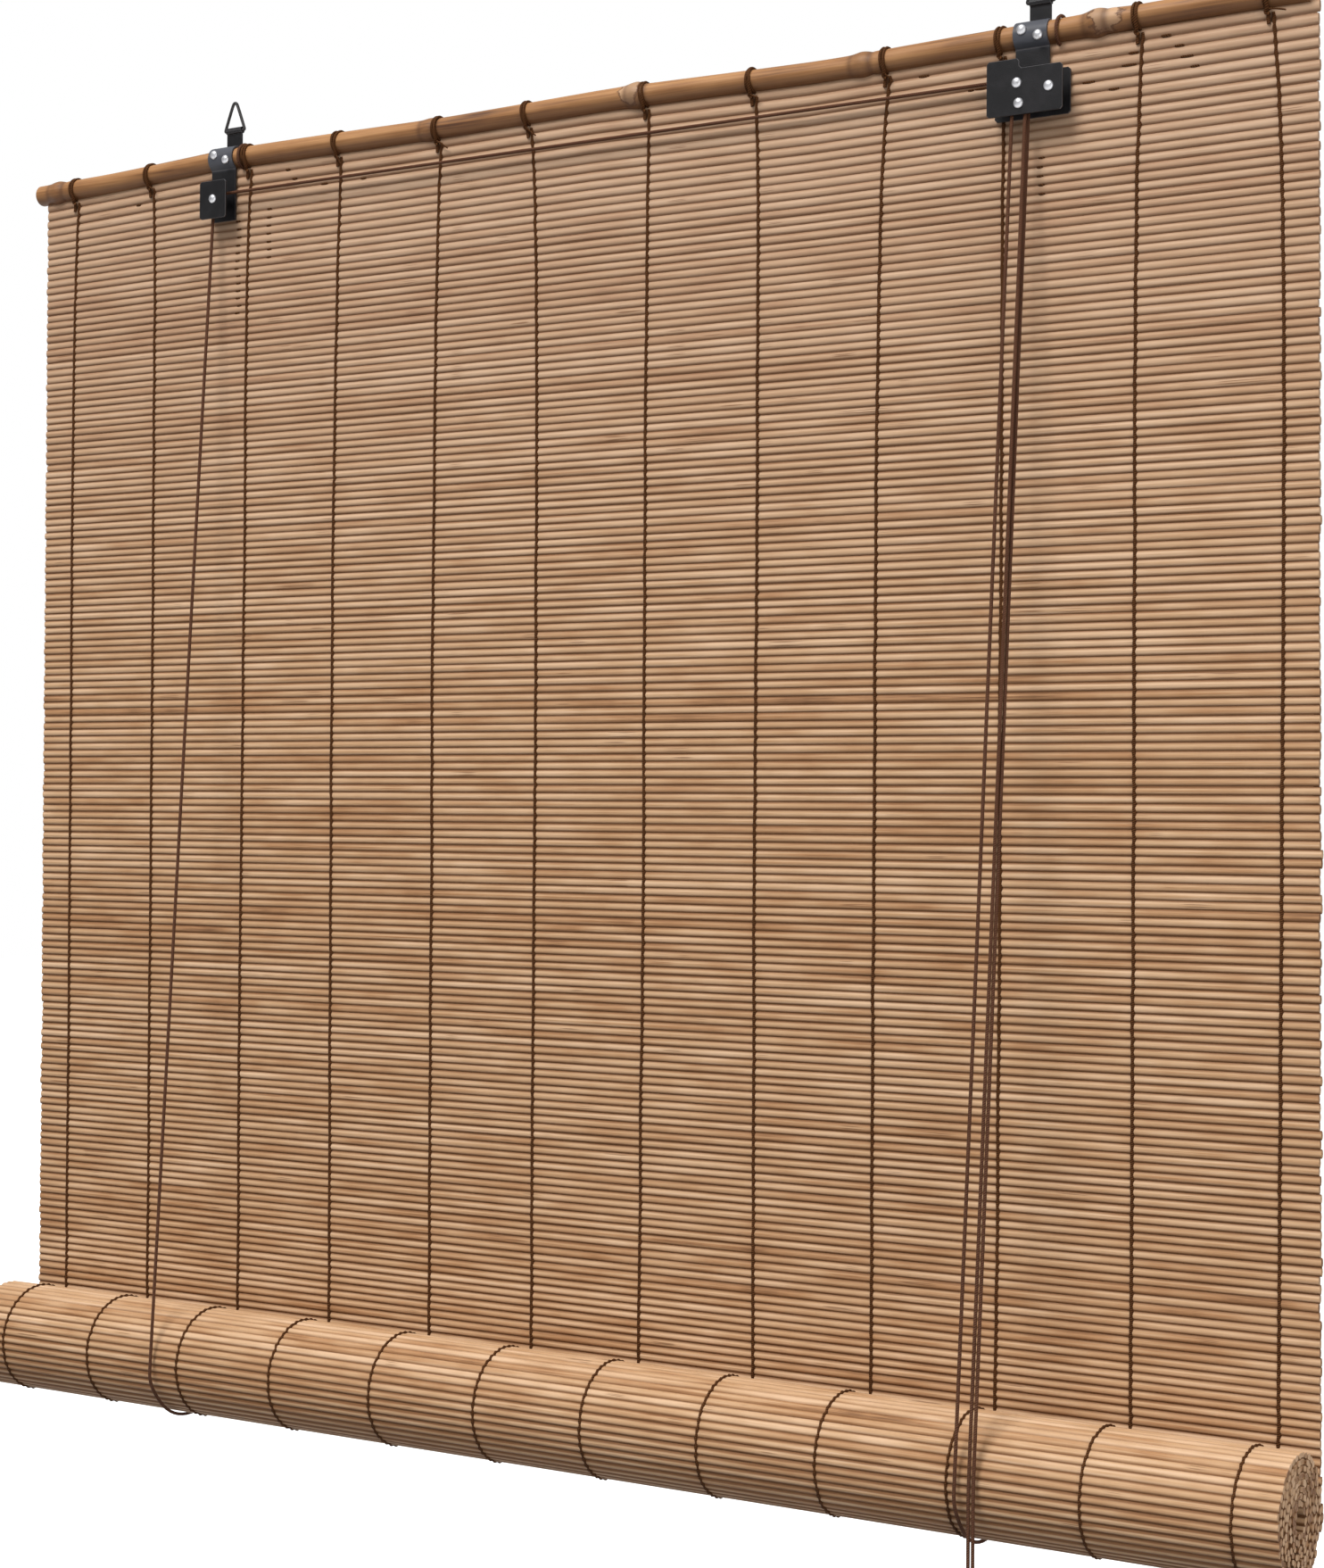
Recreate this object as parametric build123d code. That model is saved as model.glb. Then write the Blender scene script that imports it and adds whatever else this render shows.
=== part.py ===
from build123d import *
import math
import os

# A roll up blind of bamboo reeds, half raised. Millimetres, +X along the pole, +Z up, viewer at -Y.
# The origin is midway between the two wall hooks, on the line where they bear on the hanging rings.

# Clearances shared by all pieces
running_gap = 0.3      # between pieces that move past each other, and round a cord
bore_gap = 0.05        # radial, between a pin or rivet and its hole
seat_gap = 0.1         # between a formed sheet and what it wraps
overrun = 5.0          # how far a cutting tool runs past the piece that it cuts
full_turn = 360.0      # degrees
half_turn = full_turn / 2

# Hanging rings, one bent wire each
hook_span = 515.0
eye_drop = 15.5        # from the hook's bearing point down to the ring's base bar
ring_wire_radius = 0.9
ring_wire_sides = 8
ring_base_half = 7.4
ring_bend = 1.2        # how far a corner is cut back on each side of its bend

# Sheet metal of the two brackets
sheet = 1.0
tab_width = 11.4
tab_neck = 14.2        # from the pole's top up to the top of the tab's knuckle
tab_tail = 4.0         # how far the tab runs below the pole's axis
strap_width = 18.0
strap_top_angle = 95.0     # measured from the back, over the top, to the front
strap_leave_angle = 225.0  # where the strap leaves the pole and runs back to the mat
strap_bend_radius = 1.5
housing_depth = 8.8    # clear room between back plate and front plate
plate_corner = 1.2

# Pulley axles, measured from the pole's axis
axle_drop = 25.5
left_plate_width = 19.6
left_plate_above = 10.6
left_plate_below = 11.5
lock_plate_width = 40.0
lock_plate_above = 11.8    # the raised part, over the pulleys
lock_step = 4.8
lock_raised_width = 17.2
lock_plate_below = 15.6
lock_axle_offset = -4.0    # pulley axle from the bracket's middle
cam_pivot_offset = 12.8
cam_pivot_drop = 3.5       # below the pulley axle
post_drop = 10.0           # guide post below the pulley axle

# Rivets
rivet_sides = 8
rivet_head_radius = 2.6
rivet_head_height = 1.5
rivet_crown_taper = 36.0
strap_rivet_radius = 1.0
strap_rivet_reach = 4.35   # from the bracket's middle along the pole
strap_rivet_stagger = 1.8
axle_radius = 1.3

# Pulleys and lock
pulley_cord_radius = 3.5   # from the axle to the cord's centre line
pulley_rim_radius = 4.6
pulley_sides = 16
pulley_width = 3.4
front_pulley_inset = 2.8   # its middle, behind the front plate
pulley_pitch = 3.8         # between the two pulleys on the lock's axle
cam_side_gap = 0.8
cam_sides = 12
cam_hub_radius = 3.2
cam_nose_radius = 2.4
cam_tooth_depth = 0.6
cam_tooth_sides = 3
cam_tooth_angles = (130.0, 160.0, 190.0, 220.0)

# Bamboo pole
pole_radius = 6.0
pole_sides = 16
pole_left_out = 10.0       # past the mat's left edge
pole_right_short = 4.0     # inside the mat's right edge
culm_ridge = 0.6
culm_half_width = 1.8
culm_node_shares = (0.012, 0.365, 0.536, 0.704, 0.863)  # of the mat's width, from its left edge

# Reed mat
side_overhang = 142.5      # from a bracket to the mat's edge
reed_pitch = 4.23
reed_thickness = 2.8
reed_web = 0.8
reed_flank_share = 0.27    # of the pitch, on each side of a reed's flat crest
mat_gap = 1.3              # between pole and first reed
reed_count = 163
loose_share = 0.31         # how much wider apart the reeds hang just under the pole
loose_reeds = 7.6          # how many reeds it takes for this to fade

# Warp threads and their ties round the pole
warp_count = 12
warp_margin = 19.3         # from the mat's edge to the first thread
thread_width = 1.0
thread_thickness = 0.5
thread_end_gap = 6.0       # above the line where the mat goes into the roll
tie_width = 1.2
tie_thickness = 0.8
tie_sides = 6
tie_shift_shares = (0.10, -0.03, 0.065, 0.025, 0.045, -0.08, 0.015, -0.04, 0.085, 0.055, 0.035, -0.035)

# Rolled part of the mat
roll_radius = 31.8         # to the crests of the outer turn
turn_pitch = 3.05
turn_thickness = 2.2
turn_count = 8
turn_chords = 12           # flats in each inner turn

# Cords
cord_radius = 0.9
cord_sides = 6
cord_end_gap = 0.1         # left between two lengths of one cord
anchor_offset = 14.0       # tied end of a lift cord, from its bracket along the pole
anchor_thickness = 1.0     # of the cord where it is pressed flat round the pole
pull_half_gap = 1.2        # half the distance between the two pull cords over the roll
pull_knot_drop = 66.0      # below the roll's axis
pull_knot_radius = 3.6
pull_knot_sides = 8
pull_knot_height = 9.0
pull_knot_chamfer = 1.4

# Places worked out from the sizes above
knuckle_radius = ring_wire_radius + bore_gap + sheet
pole_y = -(sheet / 2 + seat_gap + pole_radius)
pole_z = knuckle_radius - eye_drop - tab_neck - pole_radius
axle_z = pole_z - axle_drop
left_x = -hook_span / 2
right_x = hook_span / 2
mat_left = left_x - side_overhang
mat_right = right_x + side_overhang
mat_width = mat_right - mat_left
mat_top = pole_z - pole_radius - mat_gap
mat_bottom = mat_top - reed_count * reed_pitch
mat_front = pole_y - reed_thickness / 2
mat_back = pole_y + reed_thickness / 2
warp_pitch = (mat_width - 2 * warp_margin) / (warp_count - 1)
plate_back = mat_front - thread_thickness - running_gap
plate_front = plate_back - sheet
cover_back = plate_front - housing_depth
roll_y = mat_back - roll_radius
roll_z = mat_bottom
turn_radius = roll_radius - reed_thickness / 2
sling_radius = roll_radius + running_gap + cord_radius
lift_y = cover_back + front_pulley_inset
cross_y = lift_y + pulley_pitch
left_pulley_y = (plate_front + cover_back) / 2
lock_axle_x = right_x + lock_axle_offset
post_x = lock_axle_x + pulley_cord_radius - axle_radius - cord_radius - running_gap
post_z = axle_z - post_drop
cam_pivot_x = right_x + cam_pivot_offset
cam_pivot_z = axle_z - cam_pivot_drop
cam_nose_x = post_x + axle_radius + 2 * running_gap + 2 * cord_radius + cam_nose_radius
pull_knot_z = roll_z - pull_knot_drop


def plane_at_x(x):
    """Sketch plane across the blind: first axis Y, second axis Z, normal +X."""
    return Plane(origin=(x, 0, 0), x_dir=(0, 1, 0), z_dir=(1, 0, 0))


def plane_at_y(y):
    """Sketch plane along the blind: first axis X, second axis Z, normal towards the viewer."""
    return Plane(origin=(0, y, 0), x_dir=(1, 0, 0), z_dir=(0, -1, 0))


def prism_along_y(x, z, back, front, radius, sides):
    """Small turned shape between two depths, drawn with flats."""
    return extrude(plane_at_y(back) * Pos(x, z) * RegularPolygon(radius, sides), amount=back - front)


def hole_along_y(x, z, radius):
    """Cutting tool for a rivet's hole, through everything in front of the wall."""
    reach = housing_depth + 2 * pole_radius + overrun
    tool = plane_at_y(reach) * Pos(x, z) * RegularPolygon(radius, rivet_sides, major_radius=False)
    return extrude(tool, amount=2 * reach)


def tube(path, radius, sides):
    """Wire or cord along a path, drawn with flat sides."""
    section = Plane(origin=path @ 0, z_dir=path % 0) * RegularPolygon(radius, sides)
    return sweep(section, path=path, transition=Transition.RIGHT)


# Pole with its culm nodes

def make_pole():
    """Bamboo cane with a low ridge at each culm node, drilled for the strap rivets."""
    stations = [(mat_left - pole_left_out, pole_radius)]
    for share in culm_node_shares:
        middle = mat_left + share * mat_width
        stations.append((middle - culm_half_width, pole_radius))
        stations.append((middle, pole_radius + culm_ridge))
        stations.append((middle + culm_half_width, pole_radius))
    stations.append((mat_right - pole_right_short, pole_radius))
    rings = [
        plane_at_x(x) * Pos(pole_y, pole_z) * RegularPolygon(radius, pole_sides)
        for x, radius in stations
    ]
    cane = loft(rings, ruled=True)
    for x, z in strap_rivet_places():
        cane -= hole_along_y(x, z, strap_rivet_radius + bore_gap)
    return cane


def strap_rivet_places():
    """Two staggered rivets through each strap."""
    return [
        (bracket + side * strap_rivet_reach, pole_z - side * strap_rivet_stagger)
        for bracket in (left_x, right_x)
        for side in (-1, 1)
    ]


# Reed mat, hanging part

def reed_seam(i):
    """Height of the seam above a reed; the first reeds under the pole hang wider apart."""
    return mat_top - eased(i) / eased(reed_count) * reed_count * reed_pitch


def eased(i):
    """Number of reed pitches from the pole down to a seam, with the slack of the first reeds."""
    return i + loose_share * loose_reeds * (1 - math.exp(-i / loose_reeds))


def make_mat():
    """One wall of touching reeds: each is a ridge of three flats in front and two behind."""
    front, back = [], []
    for i in range(reed_count):
        top, bottom = reed_seam(i), reed_seam(i + 1)
        flank = reed_flank_share * (top - bottom)
        front.append((-reed_web / 2, top))
        front.append((-reed_thickness / 2, top - flank))
        front.append((-reed_thickness / 2, bottom + flank))
        back.append((reed_web / 2, top))
        back.append((reed_thickness / 2, (top + bottom) / 2))
    front.append((-reed_web / 2, mat_bottom))
    back.append((reed_web / 2, mat_bottom))
    back.reverse()
    face = make_face(Polyline(*front, *back, close=True))
    return extrude(plane_at_x(mat_left) * Pos(pole_y, 0) * face, amount=mat_width)


def warp_places():
    """Where the warp threads cross the mat."""
    return [mat_left + warp_margin + i * warp_pitch for i in range(warp_count)]


def make_threads():
    """The binding threads, flat on the mat's front."""
    bottom = mat_bottom + thread_end_gap
    strand = Rectangle(thread_width, mat_top - bottom)
    middle = (mat_top + bottom) / 2
    return [
        extrude(plane_at_y(mat_front) * Pos(x, middle) * strand, amount=thread_thickness)
        for x in warp_places()
    ]


def pole_loop(x, width, thickness, feet):
    """Thread tied round the pole; its feet are the corners of the knot over what hangs from it."""
    inner = (pole_radius + seat_gap) / math.cos(math.pi / tie_sides)
    outer = inner + thickness
    corners = list(feet)
    for i in range(tie_sides):
        angle = math.pi * (2 * i + 1) / tie_sides
        corners.append((-outer * math.sin(angle), -outer * math.cos(angle)))
    ring = make_face(Polyline(*corners, close=True))
    ring -= RegularPolygon(inner, tie_sides)
    return extrude(plane_at_x(x - width / 2) * Pos(pole_y, pole_z) * ring, amount=width)


def clear_of_brackets(x):
    """Nearest place for a tie beside the straps and the tied ends of the lift cords."""
    margin = tie_width / 2 + running_gap
    for bracket in (left_x, right_x):
        low = bracket - strap_width / 2 - margin
        high = bracket + anchor_offset + cord_radius + margin
        if low < x < high:
            return low if x - low < high - x else high
    return x


def make_ties():
    """Each warp thread is looped round the pole a little to one side of its line."""
    places = [x + share * warp_pitch for x, share in zip(warp_places(), tie_shift_shares)]
    return [
        pole_loop(clear_of_brackets(x), tie_width, tie_thickness, [(0, mat_top - pole_z)])
        for x in places
    ]


# Reed mat, rolled part

def make_roll():
    """The rolled mat as one spiral; its outer turn has the reeds' ridges."""
    half = turn_thickness / 2
    crest = reed_thickness / 2
    valley = reed_web / 2
    reeds = round(2 * math.pi * (turn_radius - turn_pitch / 2) / reed_pitch)
    outer = []
    for i in range(reeds):
        for share, lift in ((0, valley), (reed_flank_share, crest), (1 - reed_flank_share, crest)):
            outer.append(spiral_point((i + share) / reeds, lift))
    chords = turn_chords * (turn_count - 1)
    outer += [spiral_point(1 + i / turn_chords, half) for i in range(chords + 1)]
    chords += turn_chords
    inner = [spiral_point(i / turn_chords, -half) for i in range(chords + 1)]
    face = make_face(Polyline(*outer, *reversed(inner), close=True))
    return extrude(plane_at_x(mat_left) * Pos(roll_y, roll_z) * face, amount=mat_width)


def spiral_point(turns, lift):
    """Point on the rolled mat, so many turns in from where it leaves the wall, off its middle by lift."""
    radius = turn_radius - turns * turn_pitch + lift
    angle = -2 * math.pi * turns
    return (radius * math.cos(angle), radius * math.sin(angle))


# Brackets

def make_tab(bracket):
    """Hanger tab: a strip behind the pole, rolled into a knuckle that holds the ring."""
    bottom = pole_z - tab_tail
    strip = Pos(0, (bottom - eye_drop) / 2) * Rectangle(sheet, -eye_drop - bottom)
    bore = ring_wire_radius + bore_gap
    face = strip + Pos(0, -eye_drop) * RegularPolygon(knuckle_radius, ring_wire_sides, major_radius=False)
    face -= Pos(0, -eye_drop) * Circle(bore)
    tab = extrude(plane_at_x(bracket - tab_width / 2) * face, amount=tab_width)
    for x, z in strap_rivet_places():
        tab -= hole_along_y(x, z, strap_rivet_radius + bore_gap)
    return tab


def make_ring(bracket):
    """Triangular hanging ring; the hook bears on the inside of its apex."""
    right = [(ring_base_half - ring_bend, -eye_drop), (ring_base_half, ring_bend - eye_drop)]
    right.append((ring_bend, ring_wire_radius))
    left = [(-x, z) for x, z in reversed(right)]
    path = plane_at_y(0) * Pos(bracket, 0) * Polyline((0, -eye_drop), *right, *left, close=True)
    return tube(path, ring_wire_radius, ring_wire_sides)


def strap_section():
    """The strap's path: over the pole's front, back under it and down as the housing's back."""
    radius = pole_radius + seat_gap + sheet / 2
    plate = (plate_back + plate_front) / 2 - pole_y
    sweep_angle = strap_leave_angle - strap_top_angle
    wrap = CenterArc((0, 0), radius, strap_top_angle, sweep_angle)
    leave = wrap @ 1
    slope = math.tan(math.radians(strap_leave_angle))
    corner = Vector(plate, leave.Y - (plate - leave.X) / slope)
    return wrap, leave, corner, plate


def make_strap(bracket, bottom, outline=None):
    """Strap and back plate, one folded sheet; the lock's back plate is wider than its strap."""
    wrap, leave, corner, plate = strap_section()
    run = FilletPolyline(leave, corner, (plate, bottom - pole_z), radius=strap_bend_radius)
    face = trace([wrap, *run.edges()], line_width=sheet)
    strap = extrude(plane_at_x(bracket - strap_width / 2) * Pos(pole_y, pole_z) * face, amount=strap_width)
    if outline is not None:
        strap += extrude(plane_at_y(plate_back) * outline, amount=sheet)
    for x, z in strap_rivet_places():
        strap -= hole_along_y(x, z, strap_rivet_radius + bore_gap)
    for x, z in axle_places():
        strap -= hole_along_y(x, z, axle_radius + bore_gap)
    return strap


def make_cover(outline):
    """Front plate of a housing, held by the axle rivets."""
    cover = extrude(plane_at_y(cover_back) * outline, amount=sheet)
    for x, z in axle_places():
        cover -= hole_along_y(x, z, axle_radius + bore_gap)
    return cover


def left_outline():
    """Upright plate of the left pulley housing."""
    height = left_plate_above + left_plate_below
    middle = axle_z + (left_plate_above - left_plate_below) / 2
    face = Pos(left_x, middle) * Rectangle(left_plate_width, height)
    return chamfer(face.vertices(), plate_corner)


def lock_outline():
    """Plate of the cord lock, raised over the pulleys."""
    left, right = right_x - lock_plate_width / 2, right_x + lock_plate_width / 2
    top, bottom = axle_z + lock_plate_above, axle_z - lock_plate_below
    step = left + lock_raised_width
    points = [(left, bottom), (right, bottom), (right, top - lock_step), (step, top - lock_step)]
    points += [(step, top), (left, top)]
    face = make_face(Polyline(*points, close=True))
    return chamfer(face.vertices(), plate_corner)


def axle_places():
    """Left pulley axle, lock pulley axle, cam pivot and guide post."""
    return [(left_x, axle_z), (lock_axle_x, axle_z), (cam_pivot_x, cam_pivot_z), (post_x, post_z)]


def rivet_head(x, seat, z):
    """Domed head on the viewer's side of its seat."""
    base = plane_at_y(seat) * Pos(x, z) * RegularPolygon(rivet_head_radius, rivet_sides)
    return extrude(base, amount=rivet_head_height, taper=rivet_crown_taper)


def make_strap_rivets():
    """Rivets through strap, pole and hanger tab."""
    seat = pole_y - pole_radius - seat_gap - sheet
    return [
        rivet_head(x, seat, z) + prism_along_y(x, z, sheet / 2, seat, strap_rivet_radius, rivet_sides)
        for x, z in strap_rivet_places()
    ]


def make_axle_rivets():
    """Rivets that carry the pulleys, the cam and the guide post between the plates."""
    seat = cover_back - sheet
    shank = Circle(axle_radius)
    return [
        rivet_head(x, seat, z) + extrude(plane_at_y(plate_back) * Pos(x, z) * shank, amount=plate_back - seat)
        for x, z in axle_places()
    ]


# Pulleys and cord lock

def make_pulley(x, y):
    """Grooved wheel, turning freely on its rivet: a drum between two flanges."""
    groove = pulley_cord_radius - cord_radius - running_gap
    groove_half = cord_radius + running_gap
    half = pulley_width / 2
    wheel = prism_along_y(x, axle_z, y + half, y - half, groove, pulley_sides)
    for back, front in ((y + half, y + groove_half), (y - groove_half, y - half)):
        wheel += prism_along_y(x, axle_z, back, front, pulley_rim_radius, pulley_sides)
    bore = RegularPolygon(axle_radius + bore_gap, pulley_sides, major_radius=False)
    return wheel - extrude(plane_at_y(y + half) * Pos(x, axle_z) * bore, amount=pulley_width)


def make_cam():
    """Locking cam: a lever from its pivot to a toothed nose that jams the cords on the guide post."""
    pivot = Pos(cam_pivot_x, cam_pivot_z)
    hub = pivot * RegularPolygon(cam_hub_radius, cam_sides)
    nose = Pos(cam_nose_x, post_z) * RegularPolygon(cam_nose_radius, cam_sides)
    face = make_hull([*hub.edges(), *nose.edges()])
    for angle in cam_tooth_angles:
        notch = RegularPolygon(cam_tooth_depth, cam_tooth_sides, rotation=angle)
        turn = math.radians(angle)
        at_x = cam_nose_x + cam_nose_radius * math.cos(turn)
        at_z = post_z + cam_nose_radius * math.sin(turn)
        face -= Pos(at_x, at_z) * notch
    face -= pivot * RegularPolygon(axle_radius + bore_gap, cam_sides, major_radius=False)
    width = housing_depth - 2 * cam_side_gap
    return extrude(plane_at_y(plate_front - cam_side_gap) * face, amount=width)


# Cords

def roll_tangent(y):
    """Angle on the roll, seen along X, where a cord from a pulley at this depth meets its front."""
    across, up = y - roll_y, axle_z - roll_z
    return math.atan2(up, across) + math.acos(sling_radius / math.hypot(across, up))


def roll_point(x, angle):
    """Point on the cord's path round the roll."""
    return (x, roll_y + sling_radius * math.cos(angle), roll_z + sling_radius * math.sin(angle))


def straight_cord(start, end):
    """Taut cord between two points, a hair short at both."""
    line = Line(start, end)
    trim = cord_end_gap / line.length
    return tube(Line(line @ trim, line @ (1 - trim)), cord_radius, cord_sides)


def lift_cord_places():
    """Bracket, line and depth of each lift cord, which hangs on the left of its pulley."""
    return {
        "left": (left_x, left_x - pulley_cord_radius, left_pulley_y),
        "right": (right_x, lock_axle_x - pulley_cord_radius, lift_y),
    }


def make_front_strand(x, y):
    """Lift cord from its pulley down to the roll's front."""
    return straight_cord((x, y, axle_z), roll_point(x, roll_tangent(y)))


def make_sling(x, y):
    """Lift cord under the roll, from its front to its back."""
    start = math.degrees(roll_tangent(y))
    path = plane_at_x(x) * Pos(roll_y, roll_z) * CenterArc((0, 0), sling_radius, start, full_turn - start)
    return tube(path, cord_radius, cord_sides)


def anchor_drop():
    """How far below the pole's axis the loop of a lift cord's tied end reaches."""
    return pole_radius + seat_gap + 2 * cord_radius + running_gap


def make_back_strand(bracket, x):
    """Lift cord up the mat's back to its tied end on the pole."""
    top = (bracket + anchor_offset, roll_y + sling_radius, pole_z - anchor_drop())
    return straight_cord(roll_point(x, 0), top)


def make_anchors():
    """Tied ends of the lift cords, looped round the pole beside each bracket."""
    behind = roll_y + sling_radius - pole_y
    level = pole_radius + seat_gap + anchor_thickness
    feet = [(behind, -anchor_drop()), (behind - cord_radius, -level)]
    return [
        pole_loop(bracket + anchor_offset, 2 * cord_radius, anchor_thickness, feet)
        for bracket in (left_x, right_x)
    ]


def make_cross_cord():
    """Left lift cord from its pulley along the mat's head to the lock, and down over the rear pulley."""
    start = left_x - pulley_cord_radius
    end = lock_axle_x + pulley_cord_radius
    top = axle_z + pulley_cord_radius
    points = [(start, left_pulley_y, axle_z), (start, left_pulley_y, top)]
    points += [(end, cross_y, top), (end, cross_y, axle_z)]
    bend = pulley_cord_radius - running_gap / 2
    return tube(FilletPolyline(*points, radius=bend), cord_radius, cord_sides)


def make_lift_turn():
    """Right lift cord over the front pulley of the lock."""
    path = plane_at_y(lift_y) * CenterArc((lock_axle_x, axle_z), pulley_cord_radius, half_turn, -half_turn)
    return tube(path, cord_radius, cord_sides)


def pull_cord_places():
    """Depth at the lock and side step over the roll of the two pull cords."""
    return {"front": (lift_y, -pull_half_gap), "rear": (cross_y, pull_half_gap)}


def make_pull_run(y, step):
    """Pull cord from its pulley down past the lock to the roll's front."""
    x = lock_axle_x + pulley_cord_radius
    return straight_cord((x, y, axle_z), roll_point(x + step, math.pi))


def make_pull_tail(step):
    """Free end of a pull cord, hanging in front of the roll down to the knot."""
    x = lock_axle_x + pulley_cord_radius + step
    start = roll_point(x, math.pi)
    return straight_cord(start, (start[0], start[1], pull_knot_z))


def make_pull_knot():
    """Knot that joins the two pull cords, a small barrel."""
    place = Pos(lock_axle_x + pulley_cord_radius, roll_y - sling_radius, pull_knot_z)
    knot = extrude(place * RegularPolygon(pull_knot_radius, pull_knot_sides), amount=-pull_knot_height)
    faces = knot.faces().sort_by(Axis.Z)
    return chamfer([*faces[0].edges(), *faces[-1].edges()], pull_knot_chamfer)


# Write one file for each piece

def write(name, solids):
    """Export one node, a single solid or a group of like solids."""
    solids = solids if isinstance(solids, list) else [solids]
    whole = Compound(children=[Solid(s.solid().wrapped) for s in solids])
    export_step(whole if len(solids) > 1 else whole.solids()[0], f"parts/{name}.step")


def main():
    os.makedirs("parts", exist_ok=True)
    write("pole", make_pole())
    write("reed_mat", make_mat())
    write("warp_threads", make_threads())
    write("warp_ties", make_ties())
    write("mat_roll", make_roll())
    for side, bracket in (("left", left_x), ("right", right_x)):
        write(f"{side}_hanger_tab", make_tab(bracket))
        write(f"{side}_hook_ring", make_ring(bracket))
    write("left_strap", make_strap(left_x, axle_z - left_plate_below))
    write("lock_strap", make_strap(right_x, axle_z - lock_plate_below, lock_outline()))
    write("left_front_plate", make_cover(left_outline()))
    write("lock_front_plate", make_cover(lock_outline()))
    write("strap_rivets", make_strap_rivets())
    write("axle_rivets", make_axle_rivets())
    write("left_pulley", make_pulley(left_x, left_pulley_y))
    write("lift_pulley", make_pulley(lock_axle_x, lift_y))
    write("cross_pulley", make_pulley(lock_axle_x, cross_y))
    write("lock_cam", make_cam())
    write("cord_anchors", make_anchors())
    for side, (bracket, x, y) in lift_cord_places().items():
        write(f"{side}_lift_front", make_front_strand(x, y))
        write(f"{side}_lift_back", make_back_strand(bracket, x))
    write("lift_slings", [make_sling(x, y) for bracket, x, y in lift_cord_places().values()])
    write("head_cords", [make_cross_cord(), make_lift_turn()])
    for side, (y, step) in pull_cord_places().items():
        write(f"{side}_pull_run", make_pull_run(y, step))
        write(f"{side}_pull_tail", make_pull_tail(step))
    write("pull_knot", make_pull_knot())


main()
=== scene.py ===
import logging
import math
from contextlib import contextmanager
from dataclasses import dataclass, field
from enum import Enum
from typing import Any, Callable, Iterator, Optional, Sequence, Union

import bpy
import numpy as np
from mathutils import Matrix, Vector


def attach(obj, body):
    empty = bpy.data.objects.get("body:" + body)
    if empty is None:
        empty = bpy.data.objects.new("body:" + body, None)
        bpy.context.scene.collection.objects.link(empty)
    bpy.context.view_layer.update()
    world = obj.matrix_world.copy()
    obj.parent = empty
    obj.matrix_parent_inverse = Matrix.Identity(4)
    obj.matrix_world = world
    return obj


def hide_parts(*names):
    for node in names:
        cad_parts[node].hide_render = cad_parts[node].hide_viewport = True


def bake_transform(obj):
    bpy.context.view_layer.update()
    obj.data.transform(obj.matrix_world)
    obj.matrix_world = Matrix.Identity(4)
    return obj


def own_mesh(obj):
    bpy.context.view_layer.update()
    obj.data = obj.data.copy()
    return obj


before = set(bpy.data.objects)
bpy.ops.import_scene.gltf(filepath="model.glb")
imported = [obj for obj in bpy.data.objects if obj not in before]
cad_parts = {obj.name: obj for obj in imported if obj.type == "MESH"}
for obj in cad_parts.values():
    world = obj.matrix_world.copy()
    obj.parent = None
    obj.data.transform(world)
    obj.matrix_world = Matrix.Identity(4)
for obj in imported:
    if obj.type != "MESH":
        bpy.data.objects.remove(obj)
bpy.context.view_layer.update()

log = logging.getLogger("blind")
logging.basicConfig(level=logging.INFO, format="%(message)s")

Colour = tuple[float, float, float]
Point = tuple[float, float, float]


class Body(str, Enum):
    """Bodies of the part that pieces ride on."""

    HEAD = "head"
    SLINGS = "slings"
    ROLL = "roll"
    PULL_END = "pull_end"
    LEFT_RING = "left_ring"
    RIGHT_RING = "right_ring"


class Slot(str, Enum):
    """Material slots."""

    REED = "reed"
    CANE = "cane"
    THREAD = "thread"
    SHEET_METAL = "sheet_metal"
    WIRE = "wire"
    RIVET = "rivet"
    WHEEL = "wheel"
    CAM = "cam"
    CORD = "cord"


@dataclass(frozen=True)
class Layout:
    """Sizes and places shared by the sub-assemblies, in metres."""

    left_x: float = -0.2575
    right_x: float = 0.2575
    mat_left: float = -0.4
    mat_right: float = 0.4
    mat_top: float = -0.04105
    mat_bottom: float = -0.73054
    pole_y: float = -0.0066
    pole_z: float = -0.03375
    pole_radius: float = 0.006
    pole_start: float = -0.4055
    pole_end: float = 0.396
    axle_z: float = -0.05925
    lock_axle_x: float = 0.2535
    reed_pitch: float = 0.00423
    reed_count: int = 163
    roll_y: float = -0.037
    turn_radius: float = 0.0304
    turn_pitch: float = 0.00305
    turn_count: int = 8
    sling_radius: float = 0.033
    lift_y: float = -0.0158
    cross_y: float = -0.012
    left_pulley_y: float = -0.0142
    pulley_cord_radius: float = 0.0035
    cord_radius: float = 0.0009
    warp_count: int = 12
    warp_margin: float = 0.0193
    warp_drifts: tuple[float, ...] = (
        0.0032, -0.0003, 0.0003, -0.0013, 0.0002, -0.0003, -0.0005, 0.0, -0.0008, -0.0018, -0.0002, 0.0032)
    lift_travel: float = 0.573

    @property
    def mat_width(self) -> float:
        """Length of a reed."""
        return self.mat_right - self.mat_left

    @property
    def warp_pitch(self) -> float:
        """Distance between two warp threads."""
        return (self.mat_width - 2 * self.warp_margin) / (self.warp_count - 1)

    def warp_places(self) -> list[float]:
        """Where the warp threads cross the mat, along X."""
        first = self.mat_left + self.warp_margin
        return [first + i * self.warp_pitch for i in range(self.warp_count)]

    def keep(self, top: float, foot: float) -> float:
        """Share of its height that a piece from top to foot keeps when the roll is at its highest."""
        return 1 - self.lift_travel / (top - foot)


# Shader sheets

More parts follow.
